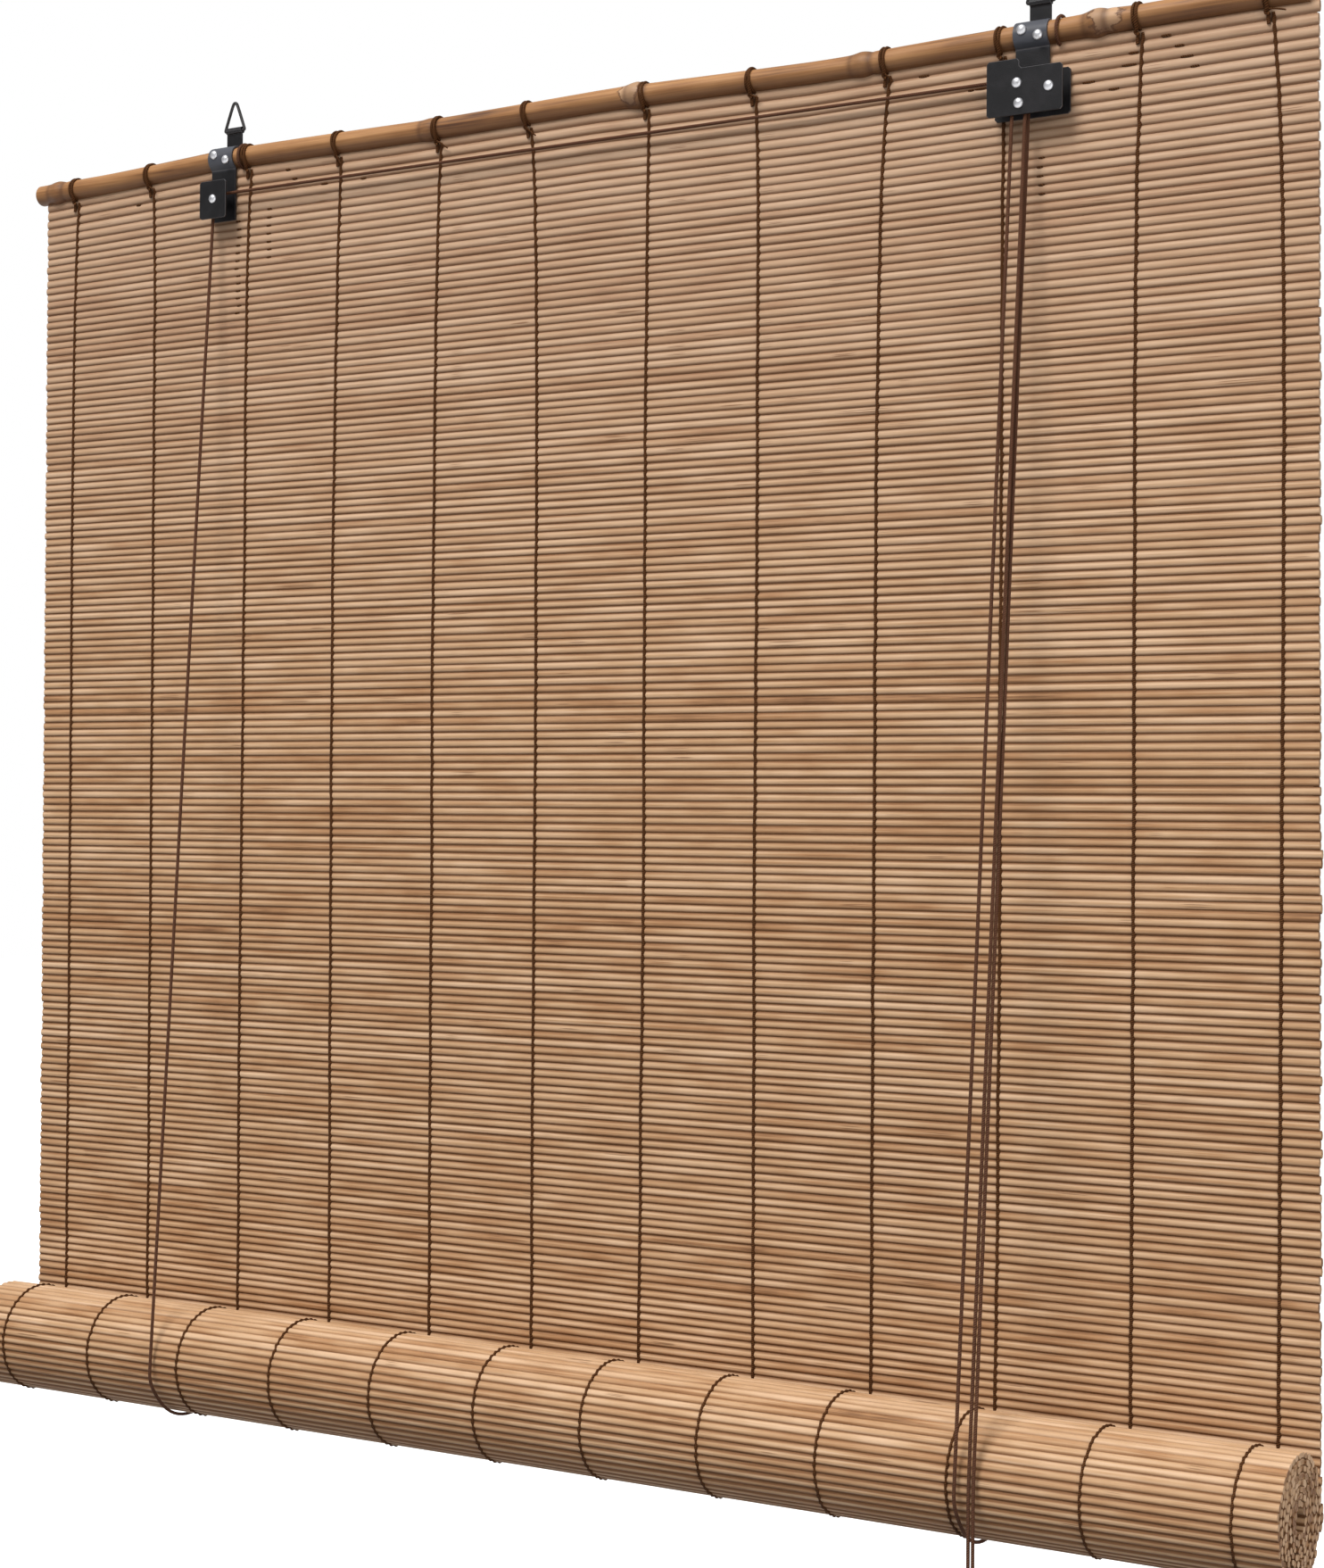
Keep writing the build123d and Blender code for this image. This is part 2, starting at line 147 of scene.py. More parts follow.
class Value:
    """A socket that carries a number; arithmetic on it adds Math nodes."""

    def __init__(self, sheet: "Sheet", socket: bpy.types.NodeSocket) -> None:
        """Keeps the sheet that new nodes go to, and the output that holds the number."""
        self.sheet = sheet
        self.socket = socket

    def _math(self, operation: str, first: "Number", second: "Number" = 0.0) -> "Value":
        """Adds one Math node and gives its result."""
        node = self.sheet.add("ShaderNodeMath", {"operation": operation}, {0: first, 1: second})
        return Value(self.sheet, node.outputs[0])

    def __add__(self, other: "Number") -> "Value":
        """Sum."""
        return self._math("ADD", self, other)

    def __sub__(self, other: "Number") -> "Value":
        """Difference."""
        return self._math("SUBTRACT", self, other)

    def __rsub__(self, other: "Number") -> "Value":
        """Reflected difference, as in 1 - mask."""
        return self._math("SUBTRACT", other, self)

    def __mul__(self, other: "Number") -> "Value":
        """Product."""
        return self._math("MULTIPLY", self, other)

    def sine(self) -> "Value":
        """Sine of an angle in radians."""
        return self._math("SINE", self)

    def between(self, low: float, high: float) -> "Value":
        """Ramps smoothly from 0 at low to 1 at high.

        Args:
            low: where the ramp starts.
            high: where it ends; below low it falls instead.
        Returns:
            The mask.
        """
        settings = {"interpolation_type": "SMOOTHSTEP"}
        node = self.sheet.add("ShaderNodeMapRange", settings, {0: self, 1: low, 2: high})
        return Value(self.sheet, node.outputs[0])


Number = Union[Value, float, int]
Link = Union[Value, bpy.types.NodeSocket, float, int, Sequence[float]]


class Sheet:
    """The nodes of one material, with its surface shader."""

    def __init__(self, name: str) -> None:
        """Starts an empty material.

        Args:
            name: the material's name.
        """
        self.material = bpy.data.materials.new(name)
        self.material.use_nodes = True
        self.tree = self.material.node_tree
        self.tree.nodes.clear()
        self.shader = self.add("ShaderNodeBsdfPrincipled")
        self.add("ShaderNodeOutputMaterial", links={"Surface": self.shader.outputs[0]})
        self.coordinates = self.add("ShaderNodeTexCoord")

    def add(self, kind: str, settings: Optional[dict[str, Any]] = None,
            links: Optional[dict[Union[str, int], Link]] = None) -> bpy.types.Node:
        """Adds one node.

        Args:
            kind: the node's type.
            settings: its properties, set first; stops are those of a colour ramp.
            links: values or links of its sockets.
        Returns:
            The node.
        """
        node = self.tree.nodes.new(kind)
        for key, value in (settings or {}).items():
            if key == "stops":
                self._set_stops(node.color_ramp, value)
            else:
                setattr(node, key, value)
        for key, value in (links or {}).items():
            self.plug(node, key, value)
        return node

    @staticmethod
    def _set_stops(ramp: bpy.types.ColorRamp, stops: Sequence[tuple[float, Colour]]) -> None:
        """Fills a colour ramp.

        Args:
            ramp: the ramp.
            stops: place and colour of each stop.
        """
        while len(ramp.elements) < len(stops):
            ramp.elements.new(1.0)
        for element, (place, colour) in zip(ramp.elements, stops):
            element.position = place
            element.color = (*colour, 1.0)

    def plug(self, node: bpy.types.Node, key: Union[str, int], value: Link) -> None:
        """Sets or links one input.

        Args:
            node: the node.
            key: the input's name or number.
            value: what goes in.
        """
        socket = node.inputs[key]
        if isinstance(value, Value):
            self.tree.links.new(value.socket, socket)
        elif isinstance(value, bpy.types.NodeSocket):
            self.tree.links.new(value, socket)
        elif isinstance(value, (int, float)):
            socket.default_value = value
        else:
            wide = len(socket.default_value)
            socket.default_value = (*value, 1.0)[:wide] if len(value) < wide else tuple(value)

    def surface(self, **inputs: Link) -> None:
        """Feeds sockets of the surface shader, named with an underscore for each space."""
        for key, value in inputs.items():
            self.plug(self.shader, key.replace("_", " "), value)

    def attribute(self, name: str) -> Value:
        """Number that the mesh stores under this name."""
        node = self.add("ShaderNodeAttribute", {"attribute_name": name})
        return Value(self, node.outputs["Fac"])

    def axes(self, of_map: bool = False) -> tuple[Value, Value, Value]:
        """Coordinates of the shaded point.

        Args:
            of_map: take the piece's own map instead of its place.
        Returns:
            The three coordinates.
        """
        source = self.coordinates.outputs["UV" if of_map else "Object"]
        node = self.add("ShaderNodeSeparateXYZ", links={0: source})
        return tuple(Value(self, node.outputs[i]) for i in range(3))

    def vector(self, x: Number, y: Number, z: Number) -> bpy.types.NodeSocket:
        """Three numbers as one vector."""
        return self.add("ShaderNodeCombineXYZ", links={0: x, 1: y, 2: z}).outputs[0]

    def noise(self, vector: Link, scale: float, detail: float, rough: float) -> Value:
        """Soft random pattern from 0 to 1, with finer layers (detail) of some strength (rough)."""
        links = {"Vector": vector, "Scale": scale, "Detail": detail, "Roughness": rough}
        return Value(self, self.add("ShaderNodeTexNoise", links=links).outputs[0])

    def ramp(self, value: Value, stops: Sequence[tuple[float, Colour]]) -> bpy.types.NodeSocket:
        """Colour that stops, each a place and a colour, give to a number."""
        return self.add("ShaderNodeValToRGB", {"stops": stops}, {0: value}).outputs[0]

    def mix(self, factor: Number, first: Link, second: Link) -> bpy.types.NodeSocket:
        """Mixes two colours; factor is the share of the second."""
        return self.add("ShaderNodeMix", {"data_type": "RGBA"}, {0: factor, 6: first, 7: second}).outputs[2]

    def bump(self, height: Value, strength: float, distance: float) -> None:
        """Gives the surface relief, from 0 to 1 over a distance in metres, of which strength shows."""
        links = {"Strength": strength, "Distance": distance, "Height": height}
        self.surface(Normal=self.add("ShaderNodeBump", links=links).outputs[0])


# Finishes

@dataclass(frozen=True)
class ReedFinish:
    """Peeled reed: light tan, streaked along its length, with painted shade in the seams between reeds."""

    name: str = "peeled_reed"
    pale: Colour = (0.68, 0.455, 0.285)
    tan: Colour = (0.56, 0.345, 0.190)
    amber: Colour = (0.43, 0.225, 0.105)
    umber: Colour = (0.19, 0.09, 0.04)
    # painted shade: the dark colour mixed in at the seams between the reeds
    seam: Colour = (0.185, 0.080, 0.030)
    upper_tint: Colour = (0.43, 0.288, 0.205)
    tint_top: float = -0.03
    tint_end: float = -0.40
    tint_share: float = 0.55
    roughness: float = 0.5
    specular: float = 0.18
    relief: float = 0.0006

    def make(self) -> bpy.types.Material:
        """Builds the material from tone and seam, which each reed carries; seam sets how much painted shade
        it takes.

        Returns:
            The material.
        """
        sheet = Sheet(self.name)
        x, _, z = sheet.axes()
        tone = sheet.attribute("tone")
        seam = sheet.attribute("seam")
        row = tone * 97.0
        streak = sheet.noise(sheet.vector(x * 7.0, row, seam * 1.2), 1.0, 4.0, 0.62)
        patch = sheet.noise(sheet.vector(x * 21.0, row * 1.7, 5.0), 1.0, 2.0, 0.5)
        fine = sheet.noise(sheet.vector(x * 60.0, row * 3.1, seam * 5.0), 1.0, 3.0, 0.6)
        fleck = sheet.noise(sheet.vector(x * 30.0, row * 7.7, seam * 2.2), 1.0, 1.0, 0.5)
        shade = tone * 0.45 + streak * 1.5 + patch * 0.95 + fine * 0.6 - 1.36
        stops = ((0.0, self.pale), (0.36, self.tan), (0.72, self.amber), (1.0, self.umber))
        colour = sheet.ramp(shade, stops)
        # paler, greyer colour towards the top of the mat, where the painted seam shade is also weaker
        tint_mask = z.between(self.tint_end, self.tint_top) * self.tint_share
        colour = sheet.mix(tint_mask, colour, self.upper_tint)
        colour = sheet.mix(fleck.between(0.70, 0.78) * 0.7, colour, self.umber)
        # painted seam shade: darkens each reed towards its top and bottom, less near the top of the mat
        edge = seam + patch * 0.3 - 0.15
        colour = sheet.mix(edge.between(0.28, 0.86) * (0.94 - tint_mask * 0.75), colour, self.seam)
        sheet.surface(Base_Color=colour, Roughness=fine * 0.25 + self.roughness,
                      Specular_IOR_Level=self.specular)
        sheet.bump(streak * 0.5 + fine * 0.5, 0.25, self.relief)
        return sheet.material


@dataclass(frozen=True)
class CaneFinish:
    """Scraped bamboo pole: brown, with long fibres, darker joints and pale scars."""

    name: str = "scraped_cane"
    pale: Colour = (0.48, 0.245, 0.098)
    brown: Colour = (0.305, 0.137, 0.047)
    dark: Colour = (0.085, 0.033, 0.013)
    scar: Colour = (0.50, 0.30, 0.165)
    rim: Colour = (0.075, 0.028, 0.012)
    roughness: float = 0.42
    specular: float = 0.28
    relief: float = 0.0008

    def make(self) -> bpy.types.Material:
        """Builds the material from the joint and scar marks of the pole, with painted shade on its underside.

        Returns:
            The material.
        """
        sheet = Sheet(self.name)
        x, y, z = sheet.axes()
        joint = sheet.attribute("joint")
        scar = sheet.attribute("scar")
        fibre = sheet.noise(sheet.vector(x * 9.0, y * 700.0, z * 700.0), 1.0, 4.0, 0.6)
        cloud = sheet.noise(sheet.vector(x * 16.0, y * 60.0, z * 60.0), 1.0, 3.0, 0.55)
        shade = fibre * 0.6 + cloud * 0.6 - 0.06
        colour = sheet.ramp(shade, ((0.30, self.dark), (0.48, self.brown), (0.72, self.pale)))
        ragged = sheet.noise(sheet.vector(x * 190.0, y * 260.0, z * 260.0), 1.0, 3.0, 0.6)
        torn = scar * 0.9 + cloud * 0.6 + ragged * 1.1 - 0.85
        colour = sheet.mix(torn.between(0.28, 0.44) * 0.8, colour, self.rim)
        colour = sheet.mix(torn.between(0.42, 0.58), colour, self.scar)
        colour = sheet.mix(joint * 0.75, colour, self.rim)
        # painted shade: the underside of the pole darkened
        colour = sheet.mix(sheet.attribute("under") * 0.6, colour, self.dark)
        sheet.surface(Base_Color=colour, Roughness=fibre * 0.2 + self.roughness,
                      Specular_IOR_Level=self.specular)
        sheet.bump(fibre * 0.6 + cloud * 0.4, 0.4, self.relief)
        return sheet.material


@dataclass(frozen=True)
class PaintFinish:
    """Dark paint on metal, finely pimpled, with a painted sheen above a height and a painted highlight on its
    broken edges.

    The height given here lies above the whole part, so only straps, which state their own, show the painted
    sheen.
    """

    name: str
    base: Colour = (0.0030, 0.0026, 0.0034)
    rubbed: Colour = (0.0090, 0.0078, 0.0095)
    # painted highlight colour of the broken edges
    edge: Colour = (0.085, 0.080, 0.084)
    # painted sheen colour
    sheen_and_wear: Colour = (0.060, 0.063, 0.076)
    sheen_from: float = 0.010
    sheen_to: float = 0.011
    roughness: float = 0.34
    specular: float = 0.26
    relief: float = 0.0003

    def make(self) -> bpy.types.Material:
        """Builds the material.

        Returns:
            The material.
        """
        sheet = Sheet(self.name)
        place = sheet.coordinates.outputs["Object"]
        cloud = sheet.noise(place, 130.0, 4.0, 0.6)
        pimple = sheet.noise(place, 2600.0, 2.0, 0.5)
        colour = sheet.mix(cloud.between(0.42, 0.72) * 0.7, self.base, self.rubbed)
        # painted sheen: paler bluish paint above a height, on the strap's top where it bends over the pole
        colour = sheet.mix(sheet.axes()[2].between(self.sheen_from, self.sheen_to), colour, self.sheen_and_wear)
        # painted highlight on the broken edges
        colour = sheet.mix(sheet.attribute("edge") * 0.8, colour, self.edge)
        sheet.surface(Base_Color=colour, Roughness=cloud * 0.22 + self.roughness,
                      Specular_IOR_Level=self.specular)
        sheet.bump(pimple, 0.3, self.relief)
        return sheet.material


@dataclass(frozen=True)
class SteelFinish:
    """Bare metal with fine scratches."""

    name: str
    base: Colour = (0.50, 0.50, 0.52)
    dull: Colour = (0.34, 0.335, 0.335)
    roughness: float = 0.38
    metallic: float = 0.95
    relief: float = 0.0001

    def make(self) -> bpy.types.Material:
        """Builds the material.

        Returns:
            The material.
        """
        sheet = Sheet(self.name)
        place = sheet.coordinates.outputs["Object"]
        cloud = sheet.noise(place, 420.0, 3.0, 0.6)
        scratch = sheet.noise(place, 3200.0, 2.0, 0.6)
        colour = sheet.mix(cloud.between(0.45, 0.75), self.base, self.dull)
        sheet.surface(Base_Color=colour, Roughness=scratch * 0.15 + self.roughness, Metallic=self.metallic)
        sheet.bump(scratch, 0.05, self.relief)
        return sheet.material


@dataclass(frozen=True)
class PlasticFinish:
    """Moulded plastic of the pulleys."""

    name: str = "moulded_wheel"
    base: Colour = (0.035, 0.031, 0.029)
    sheen_and_wear: Colour = (0.10, 0.09, 0.08)
    roughness: float = 0.35
    relief: float = 0.0002

    def make(self) -> bpy.types.Material:
        """Builds the material.

        Returns:
            The material.
        """
        sheet = Sheet(self.name)
        cloud = sheet.noise(sheet.coordinates.outputs["Object"], 500.0, 3.0, 0.6)
        colour = sheet.mix(cloud.between(0.45, 0.8), self.base, self.sheen_and_wear)
        sheet.surface(Base_Color=colour, Roughness=cloud * 0.3 + self.roughness)
        sheet.bump(cloud, 0.15, self.relief)
        return sheet.material


@dataclass(frozen=True)
class StrandFinish:
    """Twisted or braided strand, read from its own map: along it, and round it."""

    name: str
    light: Colour
    dark: Colour
    lay: float
    plies: float
    roughness: float = 0.7
    specular: float = 0.07
    relief: float = 0.0003

    def make(self) -> bpy.types.Material:
        """Builds the material.

        Returns:
            The material.
        """
        sheet = Sheet(self.name)
        along, round_it, _ = sheet.axes(of_map=True)
        turns = along * (1.0 / self.lay) + round_it
        ply = (turns * (2 * math.pi * self.plies)).sine() * 0.5 + 0.5
        fuzz = sheet.noise(sheet.vector(along * 900.0, round_it * 6.0, 0.0), 1.0, 3.0, 0.6)
        cloud = sheet.noise(sheet.vector(along * 30.0, 0.0, 0.0), 1.0, 2.0, 0.5)
        shade = ply * 0.55 + fuzz * 0.35 + cloud * 0.3 - 0.1
        # the plies show the twist; their darker grooves between the plies are painted shade
        colour = sheet.mix(shade.between(0.2, 0.95), self.dark, self.light)
        sheet.surface(Base_Color=colour, Roughness=fuzz * 0.2 + self.roughness,
                      Specular_IOR_Level=self.specular)
        sheet.bump(ply * 0.7 + fuzz * 0.3, 0.6, self.relief)
        return sheet.material


@dataclass(frozen=True)
class FloorFinish:
    """Pale studio floor, very slightly clouded."""

    name: str = "pale_floor"
    base: Colour = (0.93, 0.93, 0.93)
    cloudy: Colour = (0.90, 0.90, 0.90)
    roughness: float = 0.9
    glow: float = 0.75

    def make(self) -> bpy.types.Material:
        """Builds the material.

        Returns:
            The material.
        """
        sheet = Sheet(self.name)
        cloud = sheet.noise(sheet.coordinates.outputs["Object"], 1.5, 2.0, 0.5)
        sheet.surface(Base_Color=sheet.mix(cloud, self.base, self.cloudy), Roughness=self.roughness,
                      Emission_Color=(1.0, 1.0, 1.0), Emission_Strength=self.glow)
        return sheet.material


def made(finish: Any) -> Any:
    """Field of the palette that holds the material of a finish."""
    return field(default_factory=finish.make)


@dataclass
class Palette:
    """One material for each finish of the blind."""

    reed: bpy.types.Material = made(ReedFinish())
    cane: bpy.types.Material = made(CaneFinish())
    paint: bpy.types.Material = made(PaintFinish("dark_paint"))
    # the straps show a painted sheen where they bend over the pole
    strap: bpy.types.Material = made(PaintFinish("strap_paint", sheen_from=-0.0425, sheen_to=-0.0385))
    wire: bpy.types.Material = made(
        PaintFinish("wire_paint", base=(0.02, 0.018, 0.018), rubbed=(0.06, 0.055, 0.053)))
    rivet: bpy.types.Material = made(SteelFinish("bright_rivet"))
    cam: bpy.types.Material = made(
        SteelFinish("plain_steel", base=(0.40, 0.39, 0.37), dull=(0.20, 0.19, 0.18), roughness=0.35))
    wheel: bpy.types.Material = made(PlasticFinish())
    thread: bpy.types.Material = made(StrandFinish(
        "warp_thread", light=(0.150, 0.060, 0.020), dark=(0.034, 0.012, 0.004), lay=0.0022, plies=2.0))
    cord: bpy.types.Material = made(StrandFinish(
        "lift_cord", light=(0.190, 0.086, 0.048), dark=(0.046, 0.018, 0.010), lay=0.0034, plies=3.0))


# Modelling steps

class Bench:
    """Steps of modelling that every sub-assembly uses."""

    LIT_EDGE_LENGTH = 0.02  # a face no larger than an edge's width along this length counts as a broken edge, which gets a painted highlight

    @staticmethod
    def clear() -> None:
        """Leaves edit mode and deselects everything."""
        if bpy.context.mode != "OBJECT":
            bpy.ops.object.mode_set(mode="OBJECT")
        bpy.ops.object.select_all(action="DESELECT")

    @staticmethod
    @contextmanager
    def editing(action: str) -> Iterator[None]:
        """Edit mode for the steps inside, once the whole mesh is selected or deselected.

        Args:
            action: SELECT or DESELECT.
        Returns:
            A context that leaves edit mode at its end.
        """
        bpy.ops.object.mode_set(mode="EDIT")
        bpy.ops.mesh.select_all(action=action)
        yield
        bpy.ops.object.mode_set(mode="OBJECT")

    @staticmethod
    def activate(piece: bpy.types.Object) -> None:
        """Selects one piece alone.

        Args:
            piece: the piece.
        """
        Bench.clear()
        piece.select_set(True)
        bpy.context.view_layer.objects.active = piece

    @staticmethod
    def points(piece: bpy.types.Object) -> np.ndarray:
        """Reads a mesh's points.

        Args:
            piece: the piece.
        Returns:
            One row for each point.
        """
        flat = np.empty(len(piece.data.vertices) * 3)
        piece.data.vertices.foreach_get("co", flat)
        return flat.reshape(-1, 3)

    @staticmethod
    def move_points(piece: bpy.types.Object, points: np.ndarray) -> None:
        """Writes a mesh's points, one row for each."""
        piece.data.vertices.foreach_set("co", np.asarray(points, float).ravel())
        piece.data.update()

    @staticmethod
    def mark(piece: bpy.types.Object, name: str, numbers: np.ndarray) -> None:
        """Stores a number at each point, for a material to read."""
        store = piece.data.attributes.new(name, "FLOAT", "POINT")
        store.data.foreach_set("value", np.asarray(numbers, float))

    @staticmethod
    def rod(name: str, sides: int, *cuts: int) -> bpy.types.Object:
        """Models a round bar of radius one along X, from -0.5 to 0.5, cut into stations.

        Args:
            name: the piece's name.
            sides: flats round it.
            cuts: stations put into each stretch, one pass after another.
        Returns:
            The bar.
        """
        Bench.clear()
        bpy.ops.mesh.primitive_cylinder_add(vertices=sides, radius=1.0, depth=1.0,
                                            rotation=(0, math.pi / 2, 0))
        piece = bpy.context.active_object
        piece.name = name
        bpy.ops.object.transform_apply(location=True, rotation=True, scale=True)
        for count in filter(None, cuts):
            with Bench.editing("DESELECT"):
                bpy.ops.mesh.select_mode(type="EDGE")
            points = Bench.points(piece)
            for edge in piece.data.edges:
                first, second = edge.vertices
                edge.select = bool(abs(points[first][0] - points[second][0]) > 1e-4)
            bpy.ops.object.mode_set(mode="EDIT")
            bpy.ops.mesh.subdivide(number_cuts=count)
            bpy.ops.object.mode_set(mode="OBJECT")
        return piece

    @staticmethod
    def copy(piece: bpy.types.Object, name: str) -> bpy.types.Object:
        """Copies a piece with its own mesh.

        Args:
            piece: the pattern.
            name: the copy's name.
        Returns:
            The copy.
        """
        twin = piece.copy()
        twin.data = piece.data.copy()
        twin.name = name
        bpy.context.collection.objects.link(twin)
        return twin

    @staticmethod
    def join(pieces: Sequence[bpy.types.Object], name: str) -> bpy.types.Object:
        """Joins pieces of one finish into one.

        Args:
            pieces: what is joined.
            name: the joined piece's name.
        Returns:
            The joined piece.
        """
        Bench.clear()
        for piece in pieces:
            piece.select_set(True)
        bpy.context.view_layer.objects.active = pieces[0]
        if len(pieces) > 1:
            bpy.ops.object.join()
        pieces[0].name = name
        pieces[0].data.name = name
        return pieces[0]

    @staticmethod
    def drop(piece: bpy.types.Object) -> None:
        """Deletes a pattern after use."""
        bpy.data.objects.remove(piece, do_unlink=True)

    @staticmethod
    def smooth(piece: bpy.types.Object, angle: float) -> None:
        """Turns the faces outwards and shades them smooth where they meet gently.

        Args:
            piece: the piece.
            angle: edges sharper than this stay sharp, in degrees.
        """
        Bench.activate(piece)
        with Bench.editing("SELECT"):
            bpy.ops.mesh.normals_make_consistent(inside=False)
        bpy.ops.object.shade_smooth_by_angle(angle=math.radians(angle))

    @staticmethod
    def apply(piece: bpy.types.Object, kind: str, **settings: Any) -> None:
        """Adds one modifier and applies it.

        Args:
            piece: the piece.
            kind: the modifier's type.
            **settings: its properties.
        """
        Bench.activate(piece)
        modifier = piece.modifiers.new(kind.lower(), kind)
        for key, value in settings.items():
            setattr(modifier, key, value)
        bpy.ops.object.modifier_apply(modifier=modifier.name)

    @staticmethod
    def softened(node: str, name: str, width: float) -> bpy.types.Object:
        """Copies a node of sheet metal, breaks its edges and marks them for a painted highlight.

        Args:
            node: the node.
            name: the copy's name.
            width: how much of each edge goes.
        Returns:
            The copy.
        """
        piece = Bench.copy(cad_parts[node], name)
        piece.parent = None
        piece.data.materials.clear()
        Bench.activate(piece)
        with Bench.editing("SELECT"):
            bpy.ops.mesh.remove_doubles(threshold=0.00001)
            bpy.ops.mesh.dissolve_limited(angle_limit=math.radians(1.5))
        Bench.apply(piece, "BEVEL", width=width, segments=2, limit_method="ANGLE",
                    angle_limit=math.radians(35), use_clamp_overlap=True)
        Bench.activate(piece)
        bpy.ops.object.shade_smooth_by_angle(angle=math.radians(50))
        Bench.apply(piece, "WEIGHTED_NORMAL", weight=100, keep_sharp=True)
        # painted highlight: the narrow bevel faces are marked for the paler edge colour
        limit = width * Bench.LIT_EDGE_LENGTH
        sheen_and_wear = piece.data.attributes.new("edge", "FLOAT", "FACE")
        sheen_and_wear.data.foreach_set("value", [float(face.area < limit) for face in piece.data.polygons])
        return piece

    @staticmethod
    def dress(piece: bpy.types.Object, material: bpy.types.Material, slot: Slot) -> None:
        """Gives a piece its finish.

        Args:
            piece: the piece.
            material: its material.
            slot: the material slot; not used.
        """
        piece.data.materials.clear()
        piece.data.materials.append(material)

    @staticmethod
    def mount(piece: bpy.types.Object, body: Body, node: str = "") -> None:
        """Says what a piece rides on and what it stands for, and reports it.

        Args:
            piece: the piece.
            body: the body that carries it.
            node: the node that it replaces, if any.
        """
        if node:
            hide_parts(node)
        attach(piece, body.value)
        log.info("%s: %d faces", piece.name, len(piece.data.polygons))


class Strand:
    """A thread or cord: a tube along points, with a map along and round it."""

    CORNER_OUT = 1.1547   # corner of a hexagon round a circle of radius one
    CORNER_HALF = 0.57735  # half its side

    @staticmethod
    def spline(points: Sequence[Union[Point, Vector]], closed: bool = False) -> list[Vector]:
        """Reads the smooth line of a cord from a spline with these points.

        Args:
            points: the route.
            closed: lead the end back into the start.
        Returns:
            Points along the line.
        """
        curve = bpy.data.curves.new("route", "CURVE")
        curve.dimensions = "3D"
        line = curve.splines.new("NURBS")
        line.points.add(len(points) - 1)
        for target, point in zip(line.points, points):
            target.co = (*point, 1.0)
        line.order_u = 3
        line.use_endpoint_u = not closed
        line.use_cyclic_u = closed
        line.resolution_u = 6
        holder = bpy.data.objects.new("route", curve)
        mesh = bpy.data.meshes.new_from_object(holder)
        read = [vertex.co.copy() for vertex in mesh.vertices]
        bpy.data.objects.remove(holder)
        bpy.data.curves.remove(curve)
        bpy.data.meshes.remove(mesh)
        return read

    @staticmethod
    def hoop(middle: Vector, reach: float, lean: float) -> list[Vector]:
        """Line of a loop round the pole.

        Args:
            middle: the pole's axis there.
            reach: radius of the loop.
            lean: how far its top stands to one side.
        Returns:
            Points round the loop.
        """
        out, half = Strand.CORNER_OUT * reach, Strand.CORNER_HALF * reach
        corners = [(lean, 0, out), (lean / 2, reach, half), (-lean / 2, reach, -half),
                   (-lean, 0, -out), (-lean / 2, -reach, -half), (lean / 2, -reach, half)]
        return Strand.spline([middle + Vector(corner) for corner in corners], closed=True)

    @staticmethod
    def tube(name: str, points: Sequence[Vector], radius: Union[float, Sequence[float]], sides: int,
             side_on: Point, closed: bool = False) -> bpy.types.Object:
        """Sweeps a round section along points.

        Args:
            name: the piece's name.
            points: the centre line.
            radius: of the section, or one for each point.
            sides: flats round it.
            side_on: a direction that the line never takes.
            closed: join the end to the start.
        Returns:
            The tube.
        """
        line = np.array([tuple(p) for p in points])
        ahead = np.roll(line, -1, axis=0) - np.roll(line, 1, axis=0)
        if not closed:
            ahead[0] = line[1] - line[0]
            ahead[-1] = line[-1] - line[-2]
        ahead /= np.linalg.norm(ahead, axis=1)[:, None]
        across = np.cross(ahead, np.array(side_on, float))
        across /= np.linalg.norm(across, axis=1)[:, None]
        upright = np.cross(across, ahead)
        turn = (np.arange(sides) * (2 * math.pi / sides))[None, :, None]
        ring = across[:, None, :] * np.cos(turn) + upright[:, None, :] * np.sin(turn)
        count = len(line)
        reach = np.broadcast_to(np.asarray(radius, float), count)[:, None, None]
        points_out = (line[:, None, :] + reach * ring).reshape(-1, 3)
        spans = count if closed else count - 1
        faces = []
        maps = []
        steps = np.linalg.norm(np.diff(line, axis=0, append=line[:1]), axis=1)
        run = np.concatenate([[0.0], np.cumsum(steps)])
        for i in range(spans):
            for j in range(sides):
                after = (j + 1) % sides
                following = (i + 1) % count
                here, there = i * sides, following * sides
                faces.append((here + j, here + after, there + after, there + j))
                for u, v in ((run[i], j), (run[i], j + 1), (run[i + 1], j + 1), (run[i + 1], j)):
                    maps.append((u, v / sides))
        if not closed:
            faces.append(tuple(range(sides))[::-1])
            faces.append(tuple((count - 1) * sides + j for j in range(sides)))
            maps += [(0.0, j / sides) for j in range(sides)][::-1]
            maps += [(run[count - 1], j / sides) for j in range(sides)]
        mesh = bpy.data.meshes.new(name)
        mesh.from_pydata(points_out.tolist(), [], faces)
        layer = mesh.uv_layers.new(name="strand")
        layer.data.foreach_set("uv", np.array(maps, float).ravel())
        piece = bpy.data.objects.new(name, mesh)
        bpy.context.collection.objects.link(piece)
        Bench.smooth(piece, 60.0)
        return piece


# Sub-assemblies

